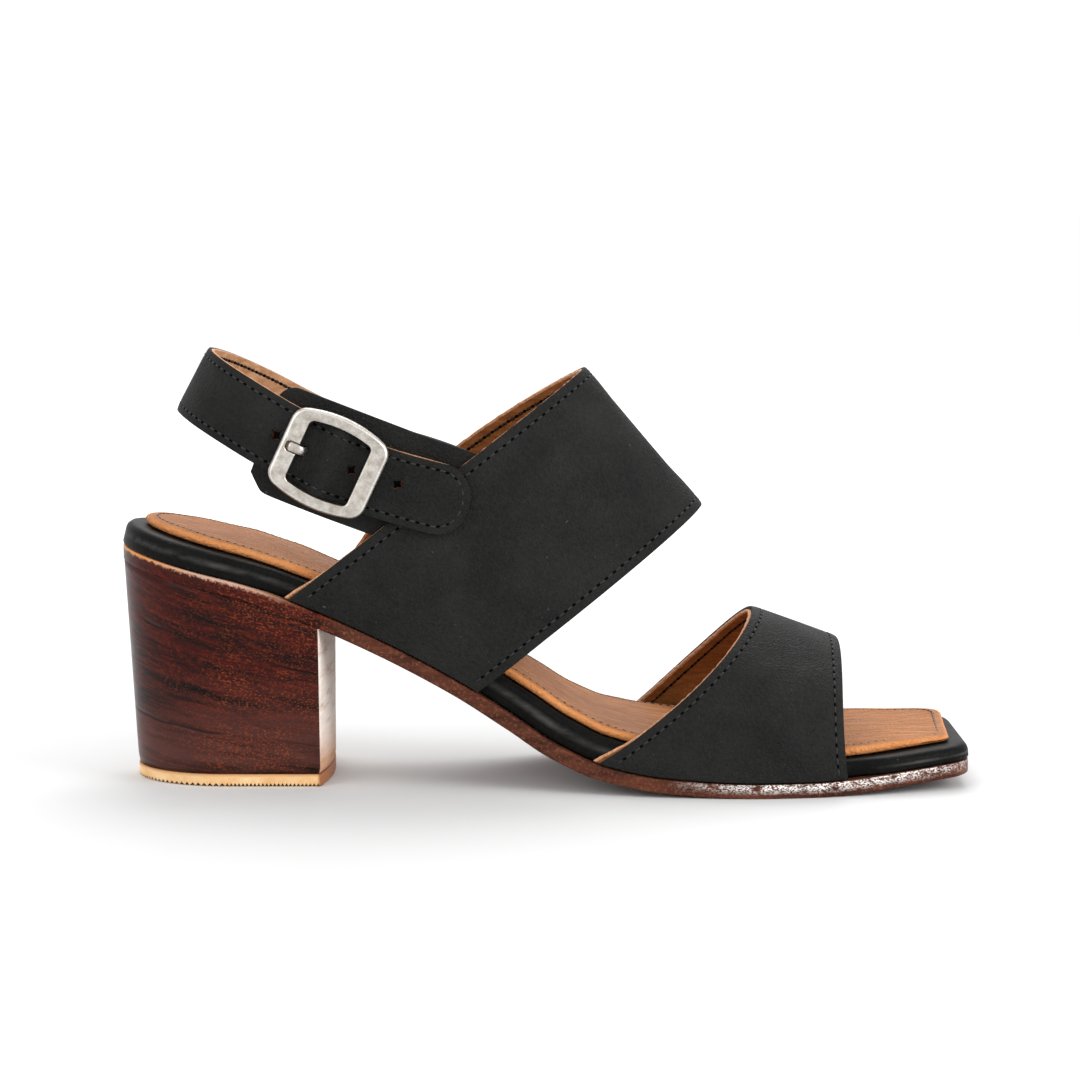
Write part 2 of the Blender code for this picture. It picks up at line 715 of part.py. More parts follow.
def prong(mount, parts, nickel):
    """Flat pin from beside the centre bar, up through the strap, into the frame's notch."""
    curve = bpy.data.curves.new("buckle_prong", "CURVE")
    curve.dimensions = "3D"
    curve.bevel_depth = PRONG_RADIUS * MM
    curve.bevel_resolution = 2
    curve.use_fill_caps = True
    spline = curve.splines.new("POLY")
    spline.points.add(len(PRONG) - 1)
    for point, row in zip(spline.points, PRONG):
        point.co = (row.along * MM, 0, row.level * MM, 1)
    curve.materials.append(nickel)
    pin = bpy.data.objects.new("buckle_prong", curve)
    pin.parent = mount
    pin.scale.y = PRONG_FLATNESS
    parts.objects.link(pin)


def build():
    clear_scene()
    parts = new_collection("heeled sandal")
    tools = new_collection("cutters")
    sandal = bpy.data.objects.new("sandal", None)
    sandal.location = Vector((-ORIGIN_X, -ORIGIN_Y, 0)) * MM
    parts.objects.link(sandal)
    outsole(sandal, parts)
    platform(sandal, parts)
    insole(sandal, parts)
    heel(sandal, parts)
    toe_band(sandal, parts)
    upper(sandal, parts, tools)
    buckle(sandal, parts, tools)


build()
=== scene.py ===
# %% [markdown]
# # A leather sandal with a block heel
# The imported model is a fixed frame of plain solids. Each step below takes one piece of the
# real shoe, shapes it again at a finer scale in the place that its solid holds, and gives
# it the finish a shoemaker would: soft black leather, tan lining, a stacked heel, nickel.

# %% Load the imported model
import math
from collections import namedtuple

import bmesh
import bpy
import numpy as np
from mathutils import Matrix, Vector, noise

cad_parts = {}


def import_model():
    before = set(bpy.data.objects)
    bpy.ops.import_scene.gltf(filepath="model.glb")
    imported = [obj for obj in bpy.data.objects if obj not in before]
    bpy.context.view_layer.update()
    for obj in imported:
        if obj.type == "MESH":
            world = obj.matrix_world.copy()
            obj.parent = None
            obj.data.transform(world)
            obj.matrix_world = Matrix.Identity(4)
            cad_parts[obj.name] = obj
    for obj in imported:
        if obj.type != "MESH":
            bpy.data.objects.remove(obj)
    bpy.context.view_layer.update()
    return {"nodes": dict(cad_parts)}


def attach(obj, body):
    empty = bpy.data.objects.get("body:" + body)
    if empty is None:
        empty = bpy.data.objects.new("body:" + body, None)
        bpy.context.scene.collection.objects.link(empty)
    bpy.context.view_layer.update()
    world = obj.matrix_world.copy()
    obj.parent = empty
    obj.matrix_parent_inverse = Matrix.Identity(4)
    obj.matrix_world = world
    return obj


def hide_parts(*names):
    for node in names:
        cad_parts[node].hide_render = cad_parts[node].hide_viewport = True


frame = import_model()
print("solids:", ", ".join(sorted(frame["nodes"])))

# %% [markdown]
# ## Camera
# The picture is taken from a little above the shoe with a long lens. The camera could be
# aimed at the shoe by a constraint, but a plain place and pitch are easier to match to a
# photograph. The shoe's own millimetres run from the back of the heel, so one helper turns
# them into the frame's metres.

# %% Camera
MM = 0.001
ORIGIN = Vector((120.6, -0.85, 0.0))
CAMERA_SPOT = Vector((119.6, -850.0, 166.0))
CAMERA_PITCH = math.radians(6.65)
CAMERA_LENS = 100.0


def world(point):
    """Shoe millimetres to metres in the frame."""
    return (point - ORIGIN) * MM


camera_data = bpy.data.cameras.new("camera")
camera_data.lens = CAMERA_LENS
camera_data.sensor_width = 36.0
camera = bpy.data.objects.new("camera", camera_data)
camera.location = world(CAMERA_SPOT)
camera.rotation_euler = (math.pi / 2 - CAMERA_PITCH, 0, 0)
bpy.context.scene.collection.objects.link(camera)
bpy.context.scene.camera = camera
print("camera at", [round(value, 3) for value in camera.location])

# %% [markdown]
# ## Floor and light
# A product photograph of this kind is shot on white, under large soft boxes. A picture of a
# studio could light the scene, but a wide pale floor, a white world and three area lights
# need nothing from disk and give the same soft shadow under the arch.

# %% Floor and light
FLOOR_SIZE = 40.0
WORLD_LIGHT = 1.03
FLOOR_NEAR, FLOOR_FAR = 0.66, 0.98
LightRow = namedtuple("LightRow", "name spot size power")
LIGHTS = (
    LightRow("top box", Vector((0.05, 0.85, 1.10)), 1.0, 13.0),
    LightRow("left box", Vector((-0.95, -1.00, 0.75)), 0.8, 4.5),
    LightRow("right box", Vector((0.95, -0.55, 0.50)), 0.6, 7.5),
)


def new_material(name):
    material = bpy.data.materials.new(name)
    material.use_nodes = True
    return material, material.node_tree, material.node_tree.nodes["Principled BSDF"]


def add_light(row):
    data = bpy.data.lights.new(row.name, "AREA")
    data.size = row.size
    data.energy = row.power
    light = bpy.data.objects.new(row.name, data)
    light.location = row.spot
    light.rotation_euler = (-row.spot).to_track_quat("-Z", "Y").to_euler()
    bpy.context.scene.collection.objects.link(light)


def floor_finish():
    """Pale paint, a little greyer near the shoe so that its soft shadow isn't lost in white."""
    material, tree, shader = new_material("pale floor")
    place = tree.nodes.new("ShaderNodeTexCoord").outputs["Object"]
    distance = tree.nodes.new("ShaderNodeVectorMath")
    distance.operation = "LENGTH"
    tree.links.new(place, distance.inputs[0])
    fade = tree.nodes.new("ShaderNodeMapRange")
    for key, value in {"From Min": 0.3, "From Max": 1.6, "To Min": FLOOR_NEAR, "To Max": FLOOR_FAR}.items():
        fade.inputs[key].default_value = value
    tree.links.new(distance.outputs["Value"], fade.inputs["Value"])
    tree.links.new(fade.outputs["Result"], shader.inputs["Base Color"])
    shader.inputs["Roughness"].default_value = 0.9
    shader.inputs["Specular IOR Level"].default_value = 0.1
    return material


for light_row in LIGHTS:
    add_light(light_row)
sky = bpy.data.worlds.new("white studio")
sky.use_nodes = True
sky.node_tree.nodes["Background"].inputs["Color"].default_value = (1, 1, 1, 1)
sky.node_tree.nodes["Background"].inputs["Strength"].default_value = WORLD_LIGHT
bpy.context.scene.world = sky
bpy.context.scene.view_settings.view_transform = "Standard"

floor_bm = bmesh.new()
bmesh.ops.create_grid(floor_bm, x_segments=1, y_segments=1, size=FLOOR_SIZE / 2)
floor_mesh = bpy.data.meshes.new("floor")
floor_bm.to_mesh(floor_mesh)
floor_bm.free()
floor = bpy.data.objects.new("floor", floor_mesh)
bpy.context.scene.collection.objects.link(floor)
floor_mesh.materials.append(floor_finish())
print("lights:", len(LIGHTS))

# %% [markdown]
# ## Curves of the foot
# A shoe is built around a last, and every piece follows it. The form could be sculpted, but
# tables give the sole's height and half widths from heel to toe, and a curve that never
# overshoots its rows joins them. So all the layers laid on the sole share one smooth form.

# %% Tables and curves
OUTER, INNER = -1, 1
GAP = 0.3
LENGTH = 240.0
SoleRow = namedtuple("SoleRow", "x top outer inner platform step")
SOLE = (
    SoleRow(0, 66.9, 29.0, 29.0, 6.8, 0.0),
    SoleRow(24, 61.0, 29.0, 29.0, 6.6, 0.5),
    SoleRow(36, 58.0, 29.0, 28.9, 6.5, 0.8),
    SoleRow(48, 53.9, 28.8, 28.4, 6.5, 3.0),
    SoleRow(72, 43.5, 28.2, 26.7, 6.8, 3.0),
    SoleRow(96, 31.1, 29.0, 26.6, 7.2, 3.0),
    SoleRow(112, 21.2, 30.8, 28.2, 7.4, 3.0),
    SoleRow(124, 13.5, 32.9, 30.4, 7.4, 3.0),
    SoleRow(136, 8.4, 36.0, 33.4, 7.2, 3.0),
    SoleRow(154, 5.2, 39.5, 37.2, 6.6, 3.0),
    SoleRow(178, 4.0, 40.9, 39.4, 5.8, 3.0),
    SoleRow(194, 4.0, 39.3, 39.0, 5.4, 3.0),
    SoleRow(207, 4.7, 36.8, 37.4, 5.0, 3.0),
    SoleRow(217, 5.7, 34.3, 35.4, 4.8, 0.8),
    SoleRow(LENGTH, 8.0, 26.0, 28.5, 4.6, 0.4),
)
HEEL_ARC = 30.0
TOE_CORNER = {OUTER: 6.0, INNER: 11.0}


def mix(first, second, share):
    return first + (second - first) * share


def smoothstep(low, high, value):
    share = min(max((value - low) / (high - low), 0.0), 1.0)
    return share * share * (3 - 2 * share)


def spaced(first, last, spans):
    return [mix(first, last, index / spans) for index in range(spans + 1)]


def profile(rows, column):
    """Smooth curve through one column of a table, which never overshoots its rows."""
    xs = [row.x for row in rows]
    values = [getattr(row, column) for row in rows]
    rates = [(values[i + 1] - values[i]) / (xs[i + 1] - xs[i]) for i in range(len(xs) - 1)]
    slopes = [rates[0]]
    for before, after in zip(rates, rates[1:]):
        slopes.append(2 * before * after / (before + after) if before * after > 0 else 0.0)
    slopes.append(rates[-1])

    def value_at(x):
        i = sum(1 for start in xs[1:-1] if start <= x)
        span = xs[i + 1] - xs[i]
        t = (x - xs[i]) / span
        if t < 0 or t > 1:
            end = i + (t > 1)
            return values[end] + slopes[end] * (x - xs[end])
        rise = (1 + 2 * t) * (1 - t) ** 2 * values[i] + t * t * (3 - 2 * t) * values[i + 1]
        turn = t * (1 - t) ** 2 * slopes[i] - t * t * (1 - t) * slopes[i + 1]
        return rise + span * turn

    return value_at


sole_top = profile(SOLE, "top")
platform_thickness = profile(SOLE, "platform")
platform_step = profile(SOLE, "step")
sole_half = {OUTER: profile(SOLE, "outer"), INNER: profile(SOLE, "inner")}


def sole_normal(x, reach=1.0):
    slope = (sole_top(x + reach) - sole_top(x - reach)) / (2 * reach)
    return Vector((-slope, 0, 1)).normalized()


def half_width(x, side, step=0.0):
    """Half width of the sole's outline, stepped in from its edge, with round ends."""
    width = sole_half[side](x) - step
    corner = TOE_CORNER[side] - step / 2
    past = x - (LENGTH - corner)
    if x < HEEL_ARC:
        return width * math.sqrt(max(1 - (1 - x / HEEL_ARC) ** 2, 0.0))
    if past > 0:
        return width - corner + math.sqrt(max(corner * corner - past * past, 0.0))
    return width


print("sole rows:", len(SOLE))

# %% [markdown]
# ## Layers of the sole
# Outsole, wrapped platform and insole are cut from one outline, each a little smaller. They
# could be extruded and bevelled, but the sole bends while its layers keep their thickness. So
# a unit block of columns, lanes and rings is laid on the outline by a function, which also
# rolls its side over at the top and at the foot as leather is.

# %% Helpers for layers
LayerEnds = namedtuple("LayerEnds", "heel toe skew")
SKEW_REACH = 40.0
HEEL_END_ANGLE = math.radians(4)
HEEL_SPANS, MIDDLE_SPANS, TOE_SPANS = 36, 84, 10
LAYER_LANES = 16
ROLL_SHARE = 0.3


def sole_stations():
    """Places along the sole, close together around the heel and the toe corners."""
    heel = [HEEL_ARC * (1 - math.cos(a)) for a in spaced(HEEL_END_ANGLE, math.pi / 2, HEEL_SPANS)]
    corner = TOE_CORNER[INNER]
    middle = spaced(HEEL_ARC, LENGTH - corner, MIDDLE_SPANS)
    toe = [LENGTH - corner + corner * math.sin(a) for a in spaced(0, math.pi / 2, TOE_SPANS)]
    return heel + middle[1:] + toe[1:]


STATIONS = sole_stations()
SPANS = len(STATIONS) - 1


def sole_point(x, across, step, ends, lift):
    """Point above the outsole's upper face; across runs from -1, outer, to 1, inner."""
    side = OUTER if across < 0 else INNER
    inset_x = x + mix(ends.heel, -ends.toe, x / LENGTH)
    inset_x += ends.skew * across * smoothstep(LENGTH - SKEW_REACH, LENGTH, x)
    y = across * half_width(x, side, step)
    return Vector((inset_x, y, sole_top(inset_x))) + sole_normal(inset_x) * lift


def rolled(level, height, top_radius, foot_radius):
    """Inset and lift of a block's side, round at its top and at its foot."""
    if level < ROLL_SHARE:
        angle = (1 - level / ROLL_SHARE) * math.pi / 2
        return foot_radius * (1 - math.cos(angle)), foot_radius * (1 - math.sin(angle))
    if level > 1 - ROLL_SHARE:
        angle = (level - 1 + ROLL_SHARE) / ROLL_SHARE * math.pi / 2
        return top_radius * (1 - math.cos(angle)), height - top_radius * (1 - math.sin(angle))
    share = (level - ROLL_SHARE) / (1 - 2 * ROLL_SHARE)
    return 0.0, mix(foot_radius, height - top_radius, share)


def inset_ends(ends, inset):
    return LayerEnds(ends.heel + inset, ends.toe + inset, ends.skew)


def unit_block(columns, lanes, rings):
    """A closed block of unit size, cut into columns, lanes and rings."""
    bm = bmesh.new()
    bm.loops.layers.uv.new("UVMap")
    bmesh.ops.create_grid(bm, x_segments=columns, y_segments=lanes, size=0.5)
    made = bmesh.ops.extrude_face_region(bm, geom=bm.faces[:])
    lifted = [item for item in made["geom"] if isinstance(item, bmesh.types.BMVert)]
    bmesh.ops.translate(bm, verts=lifted, vec=(0, 0, 1))
    bmesh.ops.translate(bm, verts=bm.verts[:], vec=(0.5, 0.5, 0))
    upright = [edge for edge in bm.edges if abs(edge.verts[0].co.z - edge.verts[1].co.z) > 0.5]
    bmesh.ops.subdivide_edges(bm, edges=upright, cuts=rings, use_grid_fill=True)
    return bm


def lay_block(bm, place):
    """Put each corner of a unit block in its own place, and keep its shares as UVs."""
    uv = bm.loops.layers.uv.active
    for face in bm.faces:
        for loop in face.loops:
            loop[uv].uv = (loop.vert.co.x, loop.vert.co.z)
    for vert in bm.verts:
        vert.co = world(place(*vert.co))
    bmesh.ops.recalc_face_normals(bm, faces=bm.faces[:])


def add_piece(name, bm, materials, replaced=None):
    """A finished piece that rides on the shoe, and stands for a solid if one is named."""
    mesh = bpy.data.meshes.new(name)
    bm.to_mesh(mesh)
    bm.free()
    for material in materials:
        mesh.materials.append(material)
    mesh.shade_smooth()
    piece = bpy.data.objects.new(name, mesh)
    bpy.context.scene.collection.objects.link(piece)
    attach(piece, "root")
    if replaced:
        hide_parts(replaced)
    print(f"{name}: {len(mesh.polygons)} faces")
    return piece


print("stations along the sole:", len(STATIONS))

# %% [markdown]
# ## Helpers for materials
# Every finish here is a tree of shader nodes. It could be wired by hand in the editor, but
# short helpers that make a node, mix two colours or map a range let each recipe be read from
# top to bottom, and give the same result each time.

# %% Node helpers


def node(tree, kind, inputs=None, **settings):
    made = tree.nodes.new(kind)
    for key, value in settings.items():
        setattr(made, key, value)
    for key, value in (inputs or {}).items():
        socket = made.inputs[key]
        if isinstance(value, bpy.types.NodeSocket):
            tree.links.new(value, socket)
        else:
            socket.default_value = value
    return made


def maths(tree, operation, first, second=0.0):
    return node(tree, "ShaderNodeMath", {0: first, 1: second}, operation=operation).outputs[0]


def product(tree, first, second):
    return maths(tree, "MULTIPLY", first, second)


def total(tree, first, second):
    return maths(tree, "ADD", first, second)


def blend(tree, factor, first, second):
    """Mix of two colours, each given as a socket or as red, green and blue."""
    values = {0: factor}
    for index, colour in ((6, first), (7, second)):
        values[index] = colour if isinstance(colour, bpy.types.NodeSocket) else (*colour, 1.0)
    return node(tree, "ShaderNodeMix", values, data_type="RGBA").outputs[2]


def ranged(tree, value, low, high, to_low=0.0, to_high=1.0):
    return node(tree, "ShaderNodeMapRange", {
        "Value": value, "From Min": low, "From Max": high, "To Min": to_low, "To Max": to_high,
    }).outputs["Result"]


def noise_value(tree, vector, scale, detail=3.0, roughness=0.55, distortion=0.0):
    return node(tree, "ShaderNodeTexNoise", {
        "Vector": vector, "Scale": scale, "Detail": detail, "Roughness": roughness, "Distortion": distortion,
    }).outputs["Fac"]


def bumped(tree, height, distance):
    return node(tree, "ShaderNodeBump", {"Height": height, "Distance": distance}).outputs["Normal"]


def set_shader(tree, shader, **values):
    """Constants and links on the shader's own sockets, named with underscores for spaces."""
    for key, value in values.items():
        socket = shader.inputs[key.replace("_", " ")]
        if isinstance(value, bpy.types.NodeSocket):
            tree.links.new(value, socket)
        elif isinstance(value, tuple):
            socket.default_value = (*value, 1.0)
        else:
            socket.default_value = value


print("node helpers: ready")

# %% [markdown]
# ## Places on a surface
# A pattern needs to know where it is on a piece. The Object coordinate is the place in space,
# which suits grain and fibres. A piece's own UV map holds shares of its length and height,
# which suits a rolled edge or a worn lip.

# %% Place helpers


def object_place(tree):
    return node(tree, "ShaderNodeTexCoord").outputs["Object"]


def stretched(tree, vector, scale):
    return node(tree, "ShaderNodeMapping", {"Vector": vector, "Scale": scale}).outputs["Vector"]


def axes(tree, vector):
    """The X, Y and Z of a vector, each as a socket."""
    return node(tree, "ShaderNodeSeparateXYZ", {0: vector}).outputs


def height_share(tree):
    """Share of a piece's height, or of the way round its section, from its UV map."""
    return axes(tree, node(tree, "ShaderNodeTexCoord").outputs["UV"])["Y"]


print("place helpers: ready")

# %% [markdown]
# ## Shared surface effects
# Three effects come back in many finishes: the pebbled grain of leather, long fibres or
# streaks, and small specks. They could be painted as pictures, but a noise has no seams and
# holds up close to. Each is a node group with its own inputs, so one recipe serves black
# leather, tan leather and the stacked heel at different sizes.

# %% Node groups


def new_group(name, inputs, outputs):
    """Shader node group with named value sockets; the one named Vector takes a vector."""
    group = bpy.data.node_groups.new(name, "ShaderNodeTree")
    for names, direction in ((inputs, "INPUT"), (outputs, "OUTPUT")):
        for label in names:
            kind = "NodeSocketVector" if label == "Vector" else "NodeSocketFloat"
            group.interface.new_socket(label, in_out=direction, socket_type=kind)
    return group, group.nodes.new("NodeGroupInput").outputs, group.nodes.new("NodeGroupOutput").inputs


def use_group(tree, group, inputs):
    return node(tree, "ShaderNodeGroup", inputs, node_tree=group).outputs


print("group helpers: ready")

# %% Leather grain, streaks and specks


def leather_grain_group():
    """Pebbles with fine pores between them, and a soft mottle for colour and gloss."""
    group, given, made = new_group("leather grain", ("Vector", "Pebbles"), ("Height", "Mottle"))
    pebbles = node(group, "ShaderNodeTexVoronoi", {
        "Vector": given["Vector"], "Scale": given["Pebbles"], "Smoothness": 0.6, "Randomness": 0.9,
    }, feature="SMOOTH_F1").outputs["Distance"]
    pores = noise_value(group, given["Vector"], 2600.0, 2.0, 0.6)
    height = total(group, pebbles, product(group, pores, 0.45))
    broad = noise_value(group, given["Vector"], 55.0, 4.0, 0.6)
    fine = noise_value(group, given["Vector"], 1000.0, 3.0, 0.65)
    mottle = total(group, product(group, broad, 0.55), product(group, fine, 0.45))
    group.links.new(height, made["Height"])
    group.links.new(mottle, made["Mottle"])
    return group


def streaks_group():
    """Long fibres: the vector comes in already stretched along them."""
    group, given, made = new_group("streaks", ("Vector", "Size"), ("Broad", "Fine"))
    fine_size = product(group, given["Size"], 4.5)
    group.links.new(noise_value(group, given["Vector"], given["Size"], 5.0, 0.62, 0.25), made["Broad"])
    group.links.new(noise_value(group, given["Vector"], fine_size, 3.0, 0.6, 0.1), made["Fine"])
    return group


def specks_group():
    """Small patches that show where a noise passes a limit."""
    group, given, made = new_group("specks", ("Vector", "Size", "Limit", "Softness"), ("Mask",))
    value = noise_value(group, given["Vector"], given["Size"], 2.0, 0.5)
    top = total(group, given["Limit"], given["Softness"])
    group.links.new(ranged(group, value, given["Limit"], top), made["Mask"])
    return group


GRAIN = leather_grain_group()
STREAKS = streaks_group()
SPECKS = specks_group()
print("node groups:", GRAIN.name, STREAKS.name, SPECKS.name)

# %% [markdown]
# ## Black leather
# The bands, strap and tab are waxed black leather: almost black, with a dull sheen, a very
# fine grain and cloudy patches where the wax lies thinner. The wrap round the platform is the
# same hide, stretched tighter, with a pale highlight painted into its colour along its middle.
# Two recipes could be written, but one function makes both, because only colours, grain and
# gloss differ.

# %% Black leather


def black_leather(name, colour, cloud, roughness, grain_depth, specular, painted_highlight=0.0):
    """Black hide; the last argument sets how pale a highlight painted along the middle of a wrapped edge gets."""
    material, tree, shader = new_material(name)
    place = object_place(tree)
    grain = use_group(tree, GRAIN, {"Vector": place, "Pebbles": 1500.0})
    dust = use_group(tree, SPECKS, {"Vector": place, "Size": 700.0, "Limit": 0.74, "Softness": 0.05})
    cloudy = blend(tree, ranged(tree, grain["Mottle"], 0.35, 0.65), colour, cloud)
    # Painted highlight: a pale streak along the middle of the wrap's side, put into its colour.
    if painted_highlight:
        level = height_share(tree)
        streak = product(tree, ranged(tree, level, 0.46, 0.58), ranged(tree, level, 0.72, 0.60))
        patches = noise_value(tree, stretched(tree, place, (0.35, 1.0, 1.0)), 120.0, 4.0, 0.65)
        streak = product(tree, streak, ranged(tree, patches, 0.38, 0.68, 0.0, painted_highlight))
        cloudy = blend(tree, streak, cloudy, (0.085, 0.083, 0.078))
    set_shader(
        tree, shader,
        Base_Color=blend(tree, product(tree, dust["Mask"], 0.35), cloudy, (0.16, 0.15, 0.14)),
        Roughness=ranged(tree, grain["Mottle"], 0.3, 0.75, roughness + 0.07, roughness - 0.07),
        Normal=bumped(tree, grain["Height"], grain_depth),
        Specular_IOR_Level=specular,
    )
    return material


BAND_BLACK = black_leather(
    "waxed black leather", (0.0098, 0.0096, 0.0093), (0.0205, 0.0201, 0.0195), 0.54, 0.00028, 0.05)
WRAP_BLACK = black_leather(
    "smooth black wrap", (0.0018, 0.0018, 0.0018), (0.0075, 0.0073, 0.0070), 0.42, 0.00006, 0.05, 0.75)
print("black finishes:", BAND_BLACK.name, WRAP_BLACK.name)

# %% [markdown]
# ## Tan leather
# Linings and cut edges are undyed leather. The lining has fine wrinkles along the foot, so it
# uses the streaks; on the sling, where light falls on it, a paler copy is painted lit. A cut
# edge shows the loose fibre under the black skin; plain noise is enough for it, because it is
# so narrow.

# %% Lining and cut edge


def lining_leather(name, dark, light):
    material, tree, shader = new_material(name)
    place = object_place(tree)
    fibres = use_group(tree, STREAKS, {"Vector": stretched(tree, place, (0.22, 1.0, 1.0)), "Size": 480.0})
    grain = use_group(tree, GRAIN, {"Vector": place, "Pebbles": 1100.0})
    base = blend(tree, ranged(tree, fibres["Broad"], 0.30, 0.70), dark, light)
    set_shader(
        tree, shader,
        Base_Color=blend(tree, ranged(tree, fibres["Fine"], 0.5, 0.8, 0.0, 0.4), base, dark),
        Roughness=ranged(tree, grain["Mottle"], 0.3, 0.7, 0.7, 0.5),
        Normal=bumped(tree, total(tree, grain["Height"], fibres["Broad"]), 0.00018),
        Specular_IOR_Level=0.15,
    )
    return material


def cut_edge(name, dark, light):
    material, tree, shader = new_material(name)
    place = object_place(tree)
    fuzz = noise_value(tree, place, 1500.0, 4.0, 0.7)
    set_shader(
        tree, shader,
        Base_Color=blend(tree, ranged(tree, fuzz, 0.35, 0.65), dark, light),
        Roughness=0.85,
        Normal=bumped(tree, fuzz, 0.0002),
        Specular_IOR_Level=0.2,
    )
    return material


LINING_TAN = lining_leather("tan lining", (0.16, 0.051, 0.012), (0.32, 0.118, 0.033))
# A paler copy of the tan lining, painted lit, for the sling where light falls on it.
LIT_SLING_TAN = lining_leather("sling lining painted lit", (0.36, 0.17, 0.08), (0.62, 0.36, 0.20))
EDGE_TAN = cut_edge("cut tan edge", (0.40, 0.165, 0.072), (0.70, 0.40, 0.24))
EDGE_BLACK = cut_edge("painted black edge", (0.008, 0.008, 0.008), (0.020, 0.018, 0.017))
print("tan finishes:", LINING_TAN.name, EDGE_TAN.name)

# %% [markdown]
# ## Bands
# The instep band and the toe band cross the foot like a bent sheet. They could be sculpted,
# but then leather, lining and seams would each need their own fit. Here each band has a row
# that says where its two edges cross the ridge of the foot and where they start on the sole,
# and a function of two shares gives any point on it.

# %% Band surface
BandEdge = namedtuple("BandEdge", "crest_x crest_z outer_foot outer_bow inner_foot inner_bow")
Band = namedtuple("Band", "back front")
INSTEP_BAND = Band(
    BandEdge(132.4, 116.4, 50.0, 0.0, 59.0, -11.0),
    BandEdge(166.1, 77.3, 102.4, 0.0, 106.0, 0.0),
)
TOE_BAND = Band(
    BandEdge(180.4, 47.6, 135.6, 3.4, 141.0, 1.2),
    BandEdge(205.1, 38.8, 204.6, -1.2, 206.0, 0.0),
)
BAND_LIFT = 0.5
BAND_OVERHANG = 0.4
BAND_ROUNDNESS = 2.3
BAND_HUG = 0.3
RIDGE = 2.0
TINY = 0.001


def band_section(band, along):
    """The band's section at a share of its width, as an edge between its two edges."""
    return BandEdge(*(mix(a, b, along) for a, b in zip(band.back, band.front)))


def section_side(section, side):
    if side == OUTER:
        return section.outer_foot, section.outer_bow
    return section.inner_foot, section.inner_bow


def section_x(section, rise, side):
    foot, bow = section_side(section, side)
    return mix(foot, section.crest_x, rise) + bow * 4 * rise * (1 - rise)


def band_base(section, side):
    foot, _ = section_side(section, side)
    return sole_top(foot) + BAND_LIFT


def band_y(section, rise, side):
    foot, _ = section_side(section, side)
    reach = math.sqrt(max(1 - rise ** BAND_ROUNDNESS, 0.0))
    hug = 1 - smoothstep(0.0, BAND_HUG, rise)
    half = mix(half_width(foot, side), half_width(section_x(section, rise, side), side), hug)
    return RIDGE * rise + side * reach * (half + BAND_OVERHANG)


def band_point(band, along, turn):
    """Outer face of a band; turn runs over the foot from the outer side to the inner."""
    section = band_section(band, along)
    side = OUTER if turn < 0.5 else INNER
    rise = math.sin(math.pi * turn) ** (2 / BAND_ROUNDNESS)
    z = mix(band_base(section, side), section.crest_z, rise)
    return Vector((section_x(section, rise, side), band_y(section, rise, side), z))


def band_frame(band, along, turn):
    """Point on a band with the run along it, the run over the foot and the outward normal."""
    low, high = max(turn - TINY, 0.0), min(turn + TINY, 1.0)
    over = (band_point(band, along, high) - band_point(band, along, low)).normalized()
    ahead = (band_point(band, along + TINY, turn) - band_point(band, along - TINY, turn)) / (2 * TINY)
    return band_point(band, along, turn), ahead, over, ahead.cross(over).normalized()


def edge_reach(band, edge, turn):
    """Millimetres, square to an edge, in a whole share of the band's run."""
    _, ahead, over, _ = band_frame(band, edge, turn)
    return (ahead - over * ahead.dot(over)).length


print("instep crest:", [round(value, 1) for value in band_point(INSTEP_BAND, 0.5, 0.5)])

# %% [markdown]
# ## Sheets with a wall
# Leather is a sheet of even thickness. It could be cut from a block, but a grid that is laid
# on a surface and given its wall by a Solidify modifier keeps that thickness everywhere. A
# small bevel softens the cut edge, and the rim can have a finish of its own.

# %% Sheets with a wall


def laid_grid(columns, lanes, surface):
    """Open sheet whose corners lie where a function of column and lane puts them."""
    bm = bmesh.new()
    uv = bm.loops.layers.uv.new("UVMap")
    bmesh.ops.create_grid(bm, x_segments=columns, y_segments=lanes, size=0.5)
    for face in bm.faces:
        for loop in face.loops:
            loop[uv].uv = (loop.vert.co.x + 0.5, loop.vert.co.y + 0.5)
    for vert in bm.verts:
        column = round((vert.co.x + 0.5) * columns)
        lane = round((vert.co.y + 0.5) * lanes)
        vert.co = world(surface(column, lane))
    return bm


def thicken(piece, thickness, rim, rounding):
    """Wall on the inner side of a sheet, with its own rim finish and soft edges."""
    wall = piece.modifiers.new("wall", "SOLIDIFY")
    wall.thickness = thickness * MM
    wall.offset = -1
    wall.use_even_offset = True
    wall.material_offset_rim = rim
    bevel = piece.modifiers.new("soft edge", "BEVEL")
    bevel.width = rounding * MM
    bevel.segments = 2
    bevel.limit_method = "ANGLE"
    bevel.angle_limit = math.radians(50)


print("sheet helpers: ready")

# %% [markdown]
# ## Relief of the leather
# The leather rolls down towards its edges, dips along the sewn line and is never quite flat,
# so light moves over it as on a real hide. Bump shading could fake this, but not in the
# outline. So the mesh itself sinks, and the main creases are listed as soft troughs and
# ridges.

# %% Relief of the leather
SEAM_DIP = 0.16
SEAM_SPREAD = 0.55
EDGE_ROLL = 0.30
EDGE_SPREAD = 0.8
TOOLED_INSET, TOOLED_DIP, TOOLED_SPREAD = 1.2, 0.08, 0.3
WAVE_DEPTH = 0.16
WAVE_SIZE = 24.0
Crease = namedtuple("Crease", "start end width depth")
CREASES = {
    INSTEP_BAND: (
        Crease(Vector((125.3, 103.0)), Vector((132.9, 92.0)), 6.0, -0.35),
        Crease(Vector((138.0, 104.0)), Vector((154.0, 87.0)), 5.0, 0.45),
        Crease(Vector((96.0, 62.0)), Vector((122.0, 66.0)), 7.0, 0.25),
        Crease(Vector((70.0, 52.0)), Vector((92.0, 46.0)), 5.0, -0.25),
    ),
    TOE_BAND: (
        Crease(Vector((184.0, 37.0)), Vector((200.0, 35.5)), 3.5, 0.40),
        Crease(Vector((172.6, 27.6)), Vector((184.0, 30.0)), 4.0, 0.25),
        Crease(Vector((176.0, 18.0)), Vector((196.0, 21.0)), 4.5, -0.25),
    ),
}


